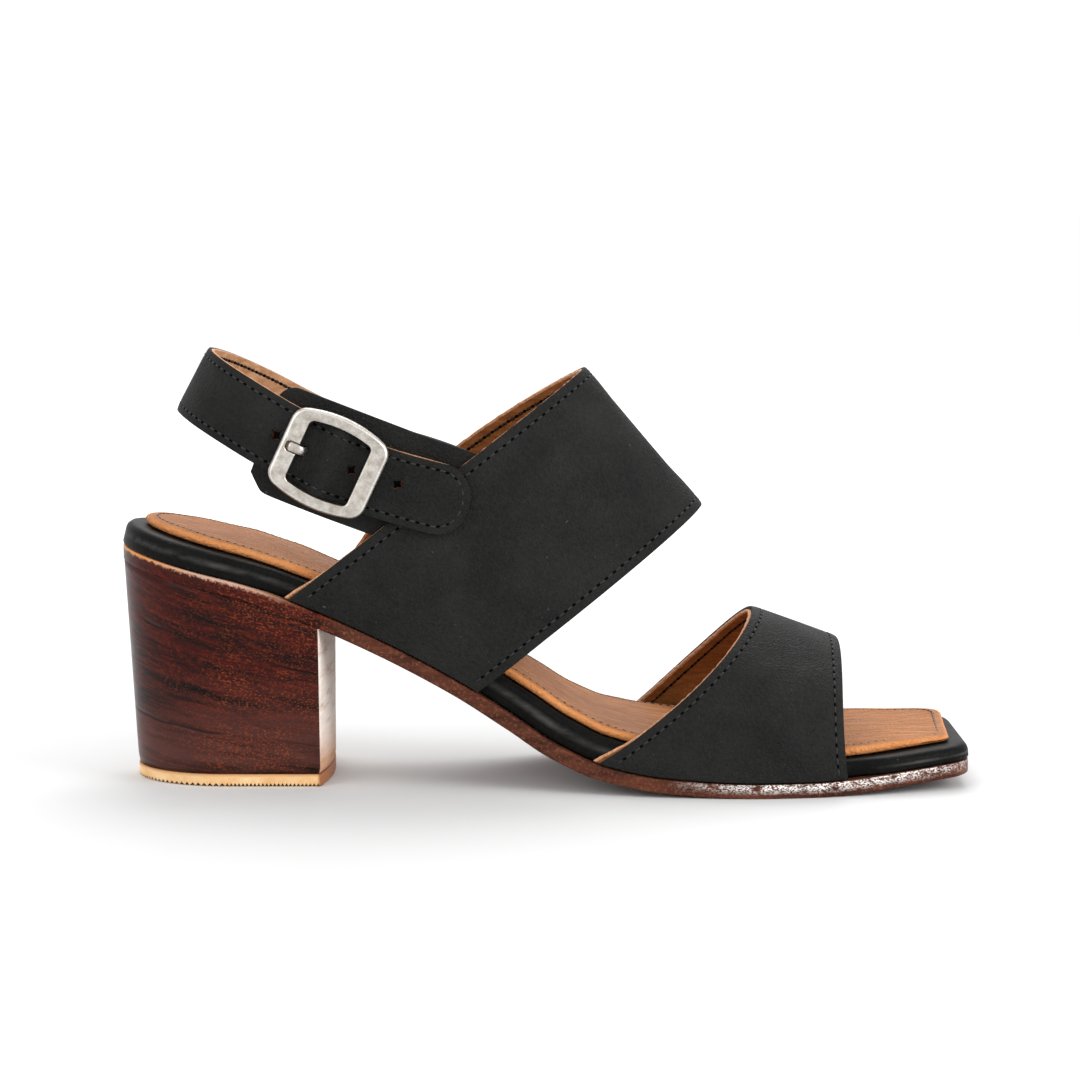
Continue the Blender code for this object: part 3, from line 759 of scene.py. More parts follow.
def seam_relief(distance, inset):
    """How far leather sinks near its edge and along its sewn line."""
    dip = SEAM_DIP * math.exp(-((distance - inset) / SEAM_SPREAD) ** 2)
    dip += TOOLED_DIP * math.exp(-((distance - TOOLED_INSET) / TOOLED_SPREAD) ** 2)
    return dip + EDGE_ROLL * math.exp(-(distance / EDGE_SPREAD) ** 2)


def wave(point, size=WAVE_SIZE):
    return WAVE_DEPTH * noise.noise(point / size)


def crease_depth(band, point):
    """Depth of the soft troughs, or height of the ridges, at a place seen from the side."""
    place = Vector((point.x, point.z))
    depth = 0.0
    for crease in CREASES[band]:
        run = crease.end - crease.start
        share = min(max((place - crease.start).dot(run) / run.length_squared, 0.0), 1.0)
        distance = (place - crease.start.lerp(crease.end, share)).length
        depth += crease.depth * math.exp(-(distance / crease.width) ** 2)
    return depth


def band_relief(band, point):
    return wave(point) + crease_depth(band, point)


print("creases:", sum(len(rows) for rows in CREASES.values()))

# %% [markdown]
# ## Raw edge of the lining
# At the back edge the tan lining peeps out a little past the black leather, ragged where the
# knife slipped. It could be a separate strip, but the lining's own first columns are pushed
# out by a small noise and given the finish of a cut edge.

# %% Raw edge of the lining
Peep = namedtuple("Peep", "outer inner corner reach")
PEEP = {INSTEP_BAND: Peep(0.0, 0.1, 1.1, 0.016), TOE_BAND: Peep(0.65, 0.45, 0.8, 0.04)}
RAGGED, RAGGED_TURN = 0.3, 0.008


def peep_out(band, turn):
    """How far the lining reaches past the leather's back edge."""
    peep = PEEP[band]
    side = peep.outer if turn < 0.5 else peep.inner
    side += RAGGED * noise.noise(Vector((turn / RAGGED_TURN, 0.0, 3.0)))
    return side + peep.corner * math.exp(-(turn / peep.reach) ** 2)


def mark_raw(bm, share):
    """The first columns of a lining are the pale raw strip along its back edge."""
    uv = bm.loops.layers.uv.active
    for face in bm.faces:
        if max(loop[uv].uv.x for loop in face.loops) < share + TINY:
            face.material_index = 1


print("lining past the toe band:", PEEP[TOE_BAND].outer)

# %% [markdown]
# ## Leather and lining of a band
# A band is two sheets glued and sewn: black leather outside and tan lining inside. One thick
# sheet with two finishes would be simpler, but the lining's ripples and its raw edge need a
# mesh of their own. Columns are packed close to both edges, where the seam and the roll are.

# %% Band pieces
LEATHER_THICKNESS = 1.25
LINING_THICKNESS = 0.9
BAND_LANES = 150
BAND_MIDDLE = 26
EDGE_STEPS = (0.0, 0.3, 0.7, 1.2, 1.7, 2.1, 2.5, 2.8, 3.1, 3.5, 4.1, 5.0, 6.4)
SEAM_INSET = 2.8
RAW_STEPS = 2
RIPPLE_DEPTH = 0.16
RIPPLE_LANES = 2.8
FRONT_SHORT = 0.3
Sheet = namedtuple("Sheet", "depth thickness")
OUTER_SHEET = Sheet(0.0, LEATHER_THICKNESS)
LINING_SHEET = Sheet(LEATHER_THICKNESS + 0.04, LINING_THICKNESS)


def band_sheet(name, band, sheet, materials, replaced=None):
    turns = spaced(0.0, 1.0, BAND_LANES)
    reaches = [(edge_reach(band, 0, turn), edge_reach(band, 1, turn)) for turn in turns]
    columns = 2 * len(EDGE_STEPS) + BAND_MIDDLE - 2

    def share(column, lane):
        """Share of the band's run, and the distance to the nearer edge, at a column."""
        back, front = reaches[lane]
        first, last = 0.0, 1.0
        if sheet.depth:
            first, last = -peep_out(band, turns[lane]) / back, 1 - FRONT_SHORT / front
        steps = len(EDGE_STEPS)
        if column < steps:
            return first + EDGE_STEPS[column] / back, EDGE_STEPS[column]
        if column > columns - steps:
            return last - EDGE_STEPS[columns - column] / front, EDGE_STEPS[columns - column]
        low, high = first + EDGE_STEPS[-1] / back, last - EDGE_STEPS[-1] / front
        return mix(low, high, (column - steps + 1) / (columns - 2 * steps + 2)), EDGE_STEPS[-1]

    def surface(column, lane):
        along, distance = share(column, lane)
        point, _, _, normal = band_frame(band, along, turns[lane])
        sunk = sheet.depth + band_relief(band, point)
        if sheet.depth:
            sunk += RIPPLE_DEPTH * (1 + noise.noise(Vector((along * 5, lane / RIPPLE_LANES, 1.0))))
        else:
            sunk += seam_relief(distance, SEAM_INSET)
        return point - normal * sunk

    bm = laid_grid(columns, BAND_LANES, surface)
    if sheet.depth:
        mark_raw(bm, RAW_STEPS / columns)
    piece = add_piece(name, bm, materials, replaced)
    thicken(piece, sheet.thickness, 1, 0.25)
    return piece


LEATHER_FINISHES = (BAND_BLACK, EDGE_BLACK)
LINING_FINISHES = (LINING_TAN, EDGE_TAN)
band_sheet("instep_leather", INSTEP_BAND, OUTER_SHEET, LEATHER_FINISHES, "upper")
band_sheet("instep_lining", INSTEP_BAND, LINING_SHEET, LINING_FINISHES)
band_sheet("toe_band_leather", TOE_BAND, OUTER_SHEET, LEATHER_FINISHES, "toe_band")
band_sheet("toe_band_lining", TOE_BAND, LINING_SHEET, LINING_FINISHES)

# %% [markdown]
# ## Line of the sling strap
# The strap runs from its round tail, through the buckle, round the heel of the foot and into
# the inner side of the instep band. A Bezier curve with a profile could make it, but its lean
# changes along the way. So a table gives its middle line and its lean, and a smooth curve
# joins the rows.

# %% Line of the strap
SlingRow = namedtuple("SlingRow", "x y z lean")
SLING = (
    SlingRow(100.2, -27.0, 79.6, 10),
    SlingRow(91.5, -27.6, 81.4, 13),
    SlingRow(75.7, -29.0, 86.2, 20),
    SlingRow(61.7, -29.6, 91.8, 25),
    SlingRow(48.5, -28.6, 98.5, 27),
    SlingRow(37.2, -24.8, 104.8, 28),
    SlingRow(26.8, -15.2, 110.4, 28),
    SlingRow(22.0, 0.0, 112.8, 28),
    SlingRow(26.8, 15.2, 110.4, 28),
    SlingRow(37.2, 24.8, 104.8, 28),
    SlingRow(48.5, 28.2, 98.5, 27),
    SlingRow(61.7, 28.8, 91.8, 25),
    SlingRow(75.7, 28.0, 86.0, 22),
    SlingRow(92.0, 26.5, 79.8, 20),
)
BUCKLE_ROW = SLING[3]
SLING_SAMPLES = 520


def through_rows(rows, share):
    """Values of a smooth curve through a table's rows, at a share of the way along it."""
    place = share * (len(rows) - 1)
    i = min(int(place), len(rows) - 2)
    t = place - i
    near = [rows[min(max(i + k, 0), len(rows) - 1)] for k in (-1, 0, 1, 2)]
    values = []
    for a, b, c, d in zip(*near):
        values.append(b + 0.5 * t * (c - a + t * (2 * a - 5 * b + 4 * c - d + t * (3 * (b - c) + d - a))))
    return values


def sling_row(share):
    return SlingRow(*through_rows(SLING, share))


sling_shares = spaced(0.0, 1.0, SLING_SAMPLES)
sling_line = [Vector(sling_row(share)[:3]) for share in sling_shares]
sling_runs = [0.0]
for before, after in zip(sling_line, sling_line[1:]):
    sling_runs.append(sling_runs[-1] + (after - before).length)
SLING_LENGTH = sling_runs[-1]
BUCKLE_RUN = float(np.interp(SLING.index(BUCKLE_ROW) / (len(SLING) - 1), sling_shares, sling_runs))
print(f"strap: {SLING_LENGTH:.0f} mm long, buckle {BUCKLE_RUN:.1f} mm from the tail")

# %% [markdown]
# ## Surface of the strap
# It is easiest to think of the strap as a ruler: a run in millimetres from the tail, and a
# side step across its width. Where it meets the instep band it has to lie on that band's
# wall. A Shrinkwrap modifier could press it on, but a short search for the wall gives the
# seams and the holes the same place.

# %% Surface of the strap
STRAP_HALF = 9.8
STRAP_THICKNESS = 2.0
STRAP_TIP = 9.0
STRAP_LIFT = 0.2
BAND_WALL = LEATHER_THICKNESS + LINING_THICKNESS
LEAD_IN = 0.3
SEARCH_STEPS = 22
STRAP_HUMP = 2.6
HUMP_REACH = 6.0


def band_side(band, x, z, side):
    """Share across a band, and its outer face's y, at a place seen from the side."""
    low, high = -LEAD_IN, 1.0 + LEAD_IN
    for _ in range(SEARCH_STEPS):
        along = (low + high) / 2
        section = band_section(band, along)
        base = band_base(section, side)
        rise = min(max((z - base) / (section.crest_z - base), 0.0), 1.0)
        low, high = (along, high) if x > section_x(section, rise, side) else (low, along)
    return along, band_y(section, rise, side)


def lay_on_band(x, y, z, side, clearance):
    """Lead a strap from its own line onto the instep band's wall."""
    along, skin = band_side(INSTEP_BAND, x, z, side)
    return mix(y, skin + side * clearance, smoothstep(-LEAD_IN, 0.0, along))


def along_buckle(x, z):
    lean = math.radians(BUCKLE_ROW.lean)
    return (x - BUCKLE_ROW.x) * math.cos(lean) - (z - BUCKLE_ROW.z) * math.sin(lean)


def strap_middle(run, side_step):
    """Middle surface of the strap at a run from its tail and a step across its width."""
    row = sling_row(float(np.interp(run, sling_runs, sling_shares)))
    lean = math.radians(row.lean)
    x = row.x + side_step * math.sin(lean)
    z = row.z + side_step * math.cos(lean)
    if row.y < 0:
        y = lay_on_band(x, row.y, z, OUTER, STRAP_THICKNESS / 2 + STRAP_LIFT)
        near = min(abs(along_buckle(x, z)) / HUMP_REACH, 1.0)
        return Vector((x, y - STRAP_HUMP * math.cos(near * math.pi / 2) ** 2, z))
    return Vector((x, lay_on_band(x, row.y, z, INNER, -BAND_WALL - STRAP_THICKNESS / 2), z))


def strap_frame(run, side_step):
    """Point on the strap's middle with its run, its side and its outward normal."""
    low, high = max(run - 0.1, 0.0), min(run + 0.1, SLING_LENGTH)
    ahead = (strap_middle(high, side_step) - strap_middle(low, side_step)).normalized()
    across = (strap_middle(run, side_step + 0.1) - strap_middle(run, side_step - 0.1)).normalized()
    return strap_middle(run, side_step), ahead, across, across.cross(ahead).normalized()


def strap_half(run):
    """Half width of the strap, which ends in a round tip."""
    return STRAP_HALF * math.sqrt(max(1 - (1 - min(run / STRAP_TIP, 1.0)) ** 2, 0.0))


print("strap width:", 2 * STRAP_HALF)

# %% [markdown]
# ## Leather and lining of the strap
# Like the bands, the strap is black leather outside and paler tan lining inside. Its round
# tip could be cut from a longer strap, but columns packed close together there follow the
# curve and keep the edge clean.

# %% Strap pieces
TIP_COLUMNS = 14
STRAP_COLUMNS = 190
TIP_START = 0.04
STRAP_EDGE_STEPS = (0.0, 0.3, 0.7, 1.1, 1.5, 1.9, 2.2, 2.6, 3.1, 4.0, 5.4)
STRAP_SEAM = 2.1
STRAP_WAVE = 0.6
STRAP_LEATHER = Sheet(-STRAP_THICKNESS / 2, 1.15)
STRAP_LINING = Sheet(0.19, 0.8)


def strap_runs():
    tip = [STRAP_TIP * (1 - math.cos(a)) for a in spaced(0.0, math.pi / 2, TIP_COLUMNS)]
    tip[0] = TIP_START
    return tip + spaced(STRAP_TIP, SLING_LENGTH, STRAP_COLUMNS)[1:]


def strap_sides(half):
    """Steps across the strap at one run, packed towards both edges."""
    scale = half / STRAP_HALF
    lower = [-(STRAP_HALF - step) * scale for step in STRAP_EDGE_STEPS]
    middle = spaced(lower[-1], -lower[-1], 4)[1:-1]
    return lower + middle + [-side for side in reversed(lower)]


def strap_sheet(name, sheet, materials):
    runs = strap_runs()
    columns = len(runs) - 1
    lanes = len(strap_sides(1.0)) - 1

    def surface(column, lane):
        run = runs[column]
        half = strap_half(run)
        side_step = strap_sides(half)[lane]
        point, _, _, normal = strap_frame(run, side_step)
        sunk = sheet.depth + STRAP_WAVE * wave(point)
        if sheet.depth < 0:
            sunk += seam_relief(half - abs(side_step), STRAP_SEAM)
        return point - normal * sunk

    bm = laid_grid(columns, lanes, surface)
    bmesh.ops.reverse_faces(bm, faces=bm.faces[:])
    piece = add_piece(name, bm, materials)
    thicken(piece, sheet.thickness, 1, 0.2)
    return piece


sling = strap_sheet("sling_leather", STRAP_LEATHER, LEATHER_FINISHES)
sling_tan = strap_sheet("sling_lining", STRAP_LINING, (LIT_SLING_TAN, EDGE_TAN))

# %% [markdown]
# ## Tab under the buckle
# A flat tab of black leather is sewn inside the band and lies between the foot and the strap,
# to keep the buckle off the skin. It could be part of the band, but it is a sheet of its own
# with a round upper corner and a cut lower one, so it is laid as one.

# %% Tab under the buckle
TAB_END = Vector((43.6, 0.0, 99.1))
TAB_LENGTH = 62.0
TAB_SLOPE = math.radians(21)
TAB_HALF = 15.5
TAB_THICKNESS = 1.6
TAB_CORNER = 5.0
TAB_CHAMFER = 4.5
TAB_DROP = 3.0
TAB_CLEARANCE = 1.5
TAB_COLUMNS, TAB_LANES = 60, 22
BUCKLE_LENGTH = 29.0


def tab_point(run, across):
    """Middle surface of the tab, which lies between the foot and the strap."""
    past = max(TAB_CORNER - run, 0.0) / TAB_CORNER
    half = TAB_HALF - TAB_CORNER * (1 - math.sqrt(max(1 - past * past, 0.0)))
    if across < 0:
        half = TAB_HALF - (TAB_CHAMFER - run + math.hypot(TAB_CHAMFER - run, 1.0)) / 2
    x = TAB_END.x + run * math.cos(TAB_SLOPE) + across * half * math.sin(TAB_SLOPE)
    z = TAB_END.z - run * math.sin(TAB_SLOPE) + across * half * math.cos(TAB_SLOPE)
    strap_y = BUCKLE_ROW.y + TAB_DROP * max((BUCKLE_ROW.x - x) / BUCKLE_LENGTH, 0.0) ** 2
    under = strap_y + STRAP_THICKNESS / 2 + TAB_CLEARANCE + TAB_THICKNESS / 2
    return Vector((x, lay_on_band(x, under, z, OUTER, -BAND_WALL - TAB_THICKNESS / 2), z))


def tab_sheet():
    corner = [TAB_CORNER * (1 - math.cos(a)) for a in spaced(0.0, math.pi / 2, 10)]
    runs = corner + spaced(TAB_CORNER, TAB_LENGTH, TAB_COLUMNS)[1:]

    def surface(column, lane):
        point = tab_point(runs[column], 2 * lane / TAB_LANES - 1)
        return point + Vector((0, -TAB_THICKNESS / 2 + STRAP_WAVE * wave(point), 0))

    bm = laid_grid(len(runs) - 1, TAB_LANES, surface)
    piece = add_piece("buckle_tab_leather", bm, LEATHER_FINISHES)
    thicken(piece, TAB_THICKNESS, 1, 0.2)


tab_sheet()

# %% [markdown]
# ## Strap holes
# Square punched holes run along the strap, with a short slit at each corner and the brown
# fibre of the hide showing on their walls. A dark mark could stand for each, but it would
# look painted on from close by. A tapered star cuts each one through leather and lining, and
# leaves its own finish on the walls.

# %% Strap holes
PIN_HOLE = (-7.5, 0.0)
HOLES = ((-16.2, 0.0), (6.4, 0.4), (19.7, 0.9))
HOLE_SIDE = 0.85
HOLE_CORNER = 1.5
HOLE_FLARE = 0.3
SLOT_SIDE = 1.0
HOLE_DEPTH = 2.5
BUCKLE_LEAN = math.radians(BUCKLE_ROW.lean)


def buckle_point(along, across, out):
    """Place in the buckle's own axes: along the strap, across it and out from the foot."""
    x = BUCKLE_ROW.x + along * math.cos(BUCKLE_LEAN) + across * math.sin(BUCKLE_LEAN)
    z = BUCKLE_ROW.z - along * math.sin(BUCKLE_LEAN) + across * math.cos(BUCKLE_LEAN)
    return Vector((x, BUCKLE_ROW.y - out, z))


def strap_place(along, across, out):
    """Place on the strap itself, counted from the buckle and out from its middle surface."""
    point, _, _, normal = strap_frame(BUCKLE_RUN - along, across)
    return point + normal * out


def add_hole(bm, hole, corner, side):
    """Tapered cutter with a corner and a side reach, wider at the strap's outer face."""
    ring = bmesh.ops.create_circle(bm, cap_ends=True, segments=8, radius=1.0)["verts"]
    for index, vert in enumerate(ring):
        vert.co *= corner if index % 2 else side
    bmesh.ops.rotate(bm, verts=ring, matrix=Matrix.Rotation(math.pi / 8, 3, "Z"))
    made = bmesh.ops.extrude_face_region(bm, geom=list({face for vert in ring for face in vert.link_faces}))
    lid = [item for item in made["geom"] if isinstance(item, bmesh.types.BMVert)]
    for verts, grow, out in ((ring, 1 - HOLE_FLARE / 2, -HOLE_DEPTH), (lid, 1 + HOLE_FLARE, STRAP_THICKNESS)):
        for vert in verts:
            vert.co = world(strap_place(hole[0] + vert.co.x * grow, hole[1] + vert.co.y * grow, out))


def hole_cutter(material):
    bm = bmesh.new()
    for hole in HOLES:
        add_hole(bm, hole, HOLE_CORNER, HOLE_SIDE)
    add_hole(bm, PIN_HOLE, SLOT_SIDE, SLOT_SIDE)
    bmesh.ops.recalc_face_normals(bm, faces=bm.faces[:])
    mesh = bpy.data.meshes.new("hole_cutter")
    bm.to_mesh(mesh)
    bm.free()
    for slot_material in (BAND_BLACK, EDGE_BLACK, material):
        mesh.materials.append(slot_material)
    for face in mesh.polygons:
        face.material_index = 2
    cutter = bpy.data.objects.new("hole_cutter", mesh)
    bpy.context.scene.collection.objects.link(cutter)
    return cutter


def cut_holes(pieces, material):
    cutter = hole_cutter(material)
    for piece in pieces:
        piece.data.materials.append(material)
        cut = piece.modifiers.new("holes", "BOOLEAN")
        cut.operation = "DIFFERENCE"
        cut.solver = "EXACT"
        cut.object = cutter
        bpy.context.view_layer.update()
        ready = piece.evaluated_get(bpy.context.evaluated_depsgraph_get())
        mesh = bpy.data.meshes.new_from_object(ready)
        piece.modifiers.clear()
        piece.data = mesh
    bpy.data.objects.remove(cutter, do_unlink=True)


HOLE_BROWN = cut_edge("hole wall", (0.055, 0.016, 0.010), (0.20, 0.060, 0.036))
cut_holes((sling, sling_tan), HOLE_BROWN)
print("strap holes:", len(HOLES), "faces now", len(sling.data.polygons))

# %% [markdown]
# ## Nickel
# The buckle is cast nickel, tumbled to a soft satin. A highlight is painted on its outer lip,
# and shade on its sides, window walls and underside. A plain metal would look like chrome.
# The frame's UV map tells how far round the bar a point is, so lip and walls can have their
# own shades.

# %% Nickel


def nickel_finish(name, painted_light_share):
    """Satin metal; on the frame a highlight is painted on the lip and shade on the sides and underside, as strong as
    the last argument says.
    """
    material, tree, shader = new_material(name)
    place = object_place(tree)
    cloud = noise_value(tree, place, 420.0, 5.0, 0.68)
    round_bar = height_share(tree)
    brushed = noise_value(tree, stretched(tree, place, (1.0, 1.0, 3.5)), 900.0, 3.0, 0.6)
    scratch = noise_value(tree, stretched(tree, place, (0.15, 1.0, 1.0)), 2600.0, 2.0, 0.5)
    worn_and_highlit = blend(tree, ranged(tree, cloud, 0.36, 0.64), (0.40, 0.36, 0.315), (0.64, 0.61, 0.565))
    worn_and_highlit = blend(tree, ranged(tree, brushed, 0.58, 0.75, 0.0, 0.4), worn_and_highlit, (0.30, 0.26, 0.22))
    # Painted highlight along the frame's outer lip, and painted shade on its sides, window walls and underside.
    lip = product(tree, ranged(tree, round_bar, 0.25, 0.27), ranged(tree, round_bar, 0.31, 0.28))
    worn_and_highlit = blend(tree, product(tree, lip, 0.7 * painted_light_share), worn_and_highlit, (0.86, 0.84, 0.81))
    wall = product(tree, ranged(tree, round_bar, 0.70, 0.76), ranged(tree, round_bar, 0.96, 0.90))
    painted_wall_shade = maths(tree, "MAXIMUM", wall, ranged(tree, round_bar, 0.24, 0.18))
    set_shader(
        tree, shader, Metallic=1.0,
        Base_Color=blend(tree, product(tree, painted_wall_shade, painted_light_share), worn_and_highlit, (0.16, 0.13, 0.11)),
        Roughness=ranged(tree, cloud, 0.3, 0.7, 0.40, 0.27),
        Normal=bumped(tree, total(tree, brushed, product(tree, scratch, 0.4)), 0.00006),
    )
    return material


NICKEL = nickel_finish("satin nickel", 0.8)
PIN_NICKEL = nickel_finish("pin nickel", 0.0)
print("metal:", NICKEL.name, PIN_NICKEL.name)

# %% [markdown]
# ## Outlines of the buckle
# Both long sides of the frame bow outwards and run into round corners without a kink. A drawn
# curve could be traced by eye; here a short search finds where each bow and corner touch, so
# the frame and its window come from four numbers each.

# %% Outlines of the buckle
Outline = namedtuple("Outline", "length height bow corner")
FRAME_OUTLINE = Outline(BUCKLE_LENGTH - 0.2, 20.9, 2.9, 4.6)
WINDOW_OUTLINE = Outline(18.2, 17.4, 1.2, 1.5)
ARC_SPANS, BOW_SPANS, SIDE_SPANS = 8, 24, 44


def bowed_outline(outline):
    """Rectangle whose long sides bow outwards and run smoothly into its round corners."""
    half, corner = outline.length / 2, outline.corner
    curve, peak = outline.bow / half ** 2, outline.height / 2 + outline.bow
    low, high = 0.0, half
    for _ in range(SEARCH_STEPS):
        x = (low + high) / 2
        lean = math.hypot(2 * curve * x, 1)
        low, high = (x, high) if x - 2 * curve * x * corner / lean < half - corner else (low, x)
    rise = peak - curve * x * x - corner / lean
    turns = spaced(0, math.atan2(1, 2 * curve * x), ARC_SPANS)
    right = [(half - corner + corner * math.cos(a), rise + corner * math.sin(a)) for a in turns]
    top = [(step, peak - curve * step * step) for step in spaced(x, -x, BOW_SPANS)]
    left = [(-x, y) for x, y in reversed(right)]
    down = [(-half, y) for y in spaced(rise, -rise, SIDE_SPANS)]
    loop = right + top[1:-1] + left + down[1:-1]
    return loop + [(-x, -y) for x, y in loop]


print("points round the frame:", len(bowed_outline(FRAME_OUTLINE)))

# %% [markdown]
# ## Frame of the buckle
# The frame is a bar with a wide rounding outside, a crisp one at the window, a slight crown
# and a recess for the pin. It could be a bevelled plate with a cut notch. Sweeping a section
# round both outlines gives every rounding its own radius, and the recess is pressed into the
# same mesh.

# %% Buckle frame
FRAME_THICKNESS = 2.6
FRAME_UNDERSIDE = 1.3
FRAME_ROUND, WINDOW_ROUND, UNDER_ROUND = 1.0, 0.45, 0.4
FRAME_CROWN = 0.35
ROUND_SPANS, FACE_SPANS = 6, 16
PinRow = namedtuple("PinRow", "along level")
PIN = (
    PinRow(-1.2, 0.0), PinRow(-3.0, -1.3), PinRow(-5.6, -1.55), PinRow(-7.0, -0.6), PinRow(-7.3, 1.2),
    PinRow(-7.7, 2.8), PinRow(-8.6, 3.7), PinRow(-9.8, 3.85), PinRow(-12.0, 3.9),
)
PIN_HIGH, PIN_WIDE = 0.65, 1.3
NOTCH_ROOM, NOTCH_FLOOR = 0.25, 0.3


def bar_section(width):
    """Section of a frame bar: distance from its outer edge and height, walked round once."""
    high = FRAME_THICKNESS
    corners = (
        (UNDER_ROUND, UNDER_ROUND, UNDER_ROUND, 270, 180),
        (FRAME_ROUND, high - FRAME_ROUND, FRAME_ROUND, 180, 90),
        (width - WINDOW_ROUND, high - WINDOW_ROUND, WINDOW_ROUND, 90, 0),
        (width - UNDER_ROUND, UNDER_ROUND, UNDER_ROUND, 0, -90),
    )
    points = []
    for index, (x, z, radius, first, last) in enumerate(corners):
        if index == 2:
            points += [(mix(FRAME_ROUND, x, k / FACE_SPANS), high) for k in range(1, FACE_SPANS)]
        for angle in spaced(math.radians(first), math.radians(last), ROUND_SPANS):
            points.append((x + radius * math.cos(angle), z + radius * math.sin(angle)))
    return points


def notch_level(along, across):
    """Height of the recess that the pin's tip lies in, or a great height beside it."""
    tip = PIN[-1]
    end = max(tip.along + PIN_WIDE / 2 - along, 0.0)
    reach = math.hypot(end, across) / (PIN_WIDE + NOTCH_ROOM)
    if reach >= 1 or along > 0:
        return FRAME_UNDERSIDE + 2 * FRAME_THICKNESS
    return tip.level - (PIN_HIGH + NOTCH_ROOM) * math.sqrt(1 - reach * reach)


def frame_mesh():
    rim, window = bowed_outline(FRAME_OUTLINE), bowed_outline(WINDOW_OUTLINE)
    around, section = len(rim), len(bar_section(FRAME_OUTLINE.corner))

    def surface(column, lane):
        outer, inner = Vector(rim[column % around]), Vector(window[column % around])
        width = (inner - outer).length
        distance, height = bar_section(width)[lane % section]
        place = outer.lerp(inner, distance / width)
        crown = FRAME_CROWN * math.sin(math.pi * distance / width) * (height / FRAME_THICKNESS)
        level = min(FRAME_UNDERSIDE + height + crown, max(notch_level(*place), FRAME_UNDERSIDE + height * NOTCH_FLOOR))
        return buckle_point(place.x, place.y, level)

    bm = laid_grid(around, section, surface)
    bmesh.ops.remove_doubles(bm, verts=bm.verts[:], dist=0.01 * MM)
    bmesh.ops.recalc_face_normals(bm, faces=bm.faces[:])
    return bm


print("frame thickness:", FRAME_THICKNESS)

# %% [markdown]
# ## Centre bar
# Under the strap a thin bar crosses the window, and the pin turns on it. A post at each end
# holds it to the frame. It is hidden from most sides, so a cylinder and two blocks with
# bevelled edges are joined to the frame's mesh.

# %% Centre bar
BAR_RADIUS, BAR_LEVEL, BAR_BEVEL = 0.8, 0.3, 0.15
POST_SIDE, POST_HEIGHT, POST_LEVEL = 1.35, 2.2, 0.9


def add_centre_bar(bm):
    """Bar under the strap on which the pin turns, with a post to the frame at each end."""
    reach = (WINDOW_OUTLINE.height / 2 + WINDOW_OUTLINE.bow + FRAME_OUTLINE.height / 2 + FRAME_OUTLINE.bow) / 2
    ahead = Vector((math.cos(BUCKLE_LEAN), 0, -math.sin(BUCKLE_LEAN)))
    side_way = Vector((math.sin(BUCKLE_LEAN), 0, math.cos(BUCKLE_LEAN)))
    turn = Matrix((ahead, side_way, Vector((0, -1, 0)))).transposed().to_4x4()
    base = Matrix.Translation(world(buckle_point(0, 0, BAR_LEVEL))) @ turn
    bar = bmesh.ops.create_cone(
        bm, cap_ends=True, segments=16, radius1=BAR_RADIUS * MM, radius2=BAR_RADIUS * MM, depth=2 * reach * MM,
        matrix=base @ Matrix.Rotation(math.pi / 2, 4, "X"))["verts"]
    size = Matrix.Diagonal((POST_SIDE * MM, POST_SIDE * MM, POST_HEIGHT * MM, 1))
    for side in (OUTER, INNER):
        post = Matrix.Translation(Vector((0, side * reach, POST_LEVEL)) * MM) @ size
        bar += bmesh.ops.create_cube(bm, size=1.0, matrix=base @ post)["verts"]
    edges = list({edge for vert in bar for edge in vert.link_edges if edge.calc_face_angle(0) > 1.0})
    bmesh.ops.bevel(bm, geom=edges, affect="EDGES", offset=BAR_BEVEL * MM, segments=2, profile=0.5, material=-1)


buckle_bm = frame_mesh()
add_centre_bar(buckle_bm)
add_piece("buckle_plate", buckle_bm, (NICKEL,), "buckle_frame")

# %% [markdown]
# ## Pin of the buckle
# The pin is a flat wire that leaves the bar, comes up through a hole in the strap and rests
# in the frame's recess. A curve with a round bevel could make it, but its ends would be
# blunt. A grid rolled round a smooth path narrows to a rounded tip.

# %% Buckle pin
PIN_SPANS, PIN_SIDES = 60, 20


def pin_path(share):
    return Vector(through_rows(PIN, share))


def pin_surface(column, lane):
    share = (1 - math.cos(math.pi * column / PIN_SPANS)) / 2
    ahead = (pin_path(min(share + TINY, 1)) - pin_path(max(share - TINY, 0))).normalized()
    middle = pin_path(share)
    nearest = min((middle - pin_path(0)).length, (pin_path(1) - middle).length)
    size = math.sqrt(max(1 - (1 - min(nearest / PIN_HIGH, 1.0)) ** 2, 0.0))
    angle = 2 * math.pi * lane / PIN_SIDES
    lift = PIN_HIGH * size * math.sin(angle)
    across = PIN_WIDE * mix(1.0, size, 0.7) * (size > 0) * math.cos(angle)
    return buckle_point(middle.x - ahead.y * lift, across, middle.y + ahead.x * lift)


pin_bm = laid_grid(PIN_SPANS, PIN_SIDES, pin_surface)
bmesh.ops.remove_doubles(pin_bm, verts=pin_bm.verts[:], dist=0.005 * MM)
bmesh.ops.recalc_face_normals(pin_bm, faces=pin_bm.faces[:])
add_piece("buckle_pin", pin_bm, (PIN_NICKEL,), "buckle_prong")

# %% [markdown]
# ## Stitching
# Every edge is sewn with waxed thread, a little under three millimetres to a stitch. A dashed
# line in the finish could stand for it, but real stitches catch the light. Each is a small
# bead sunk in the seam, and between the stitches the shade inside each needle hole is painted
# as a dark bead. All the stitches of a piece are joined in one mesh.

# %% Stitch helpers
STITCH_PITCH = 2.9
STITCH_LENGTH, STITCH_WIDTH, STITCH_HEIGHT = 1.95, 0.62, 0.55
NEEDLE_LENGTH, NEEDLE_WIDTH, NEEDLE_HEIGHT = 1.3, 0.92, 0.30
STITCH_SINK = SEAM_DIP
SeamPoint = namedtuple("SeamPoint", "place normal")


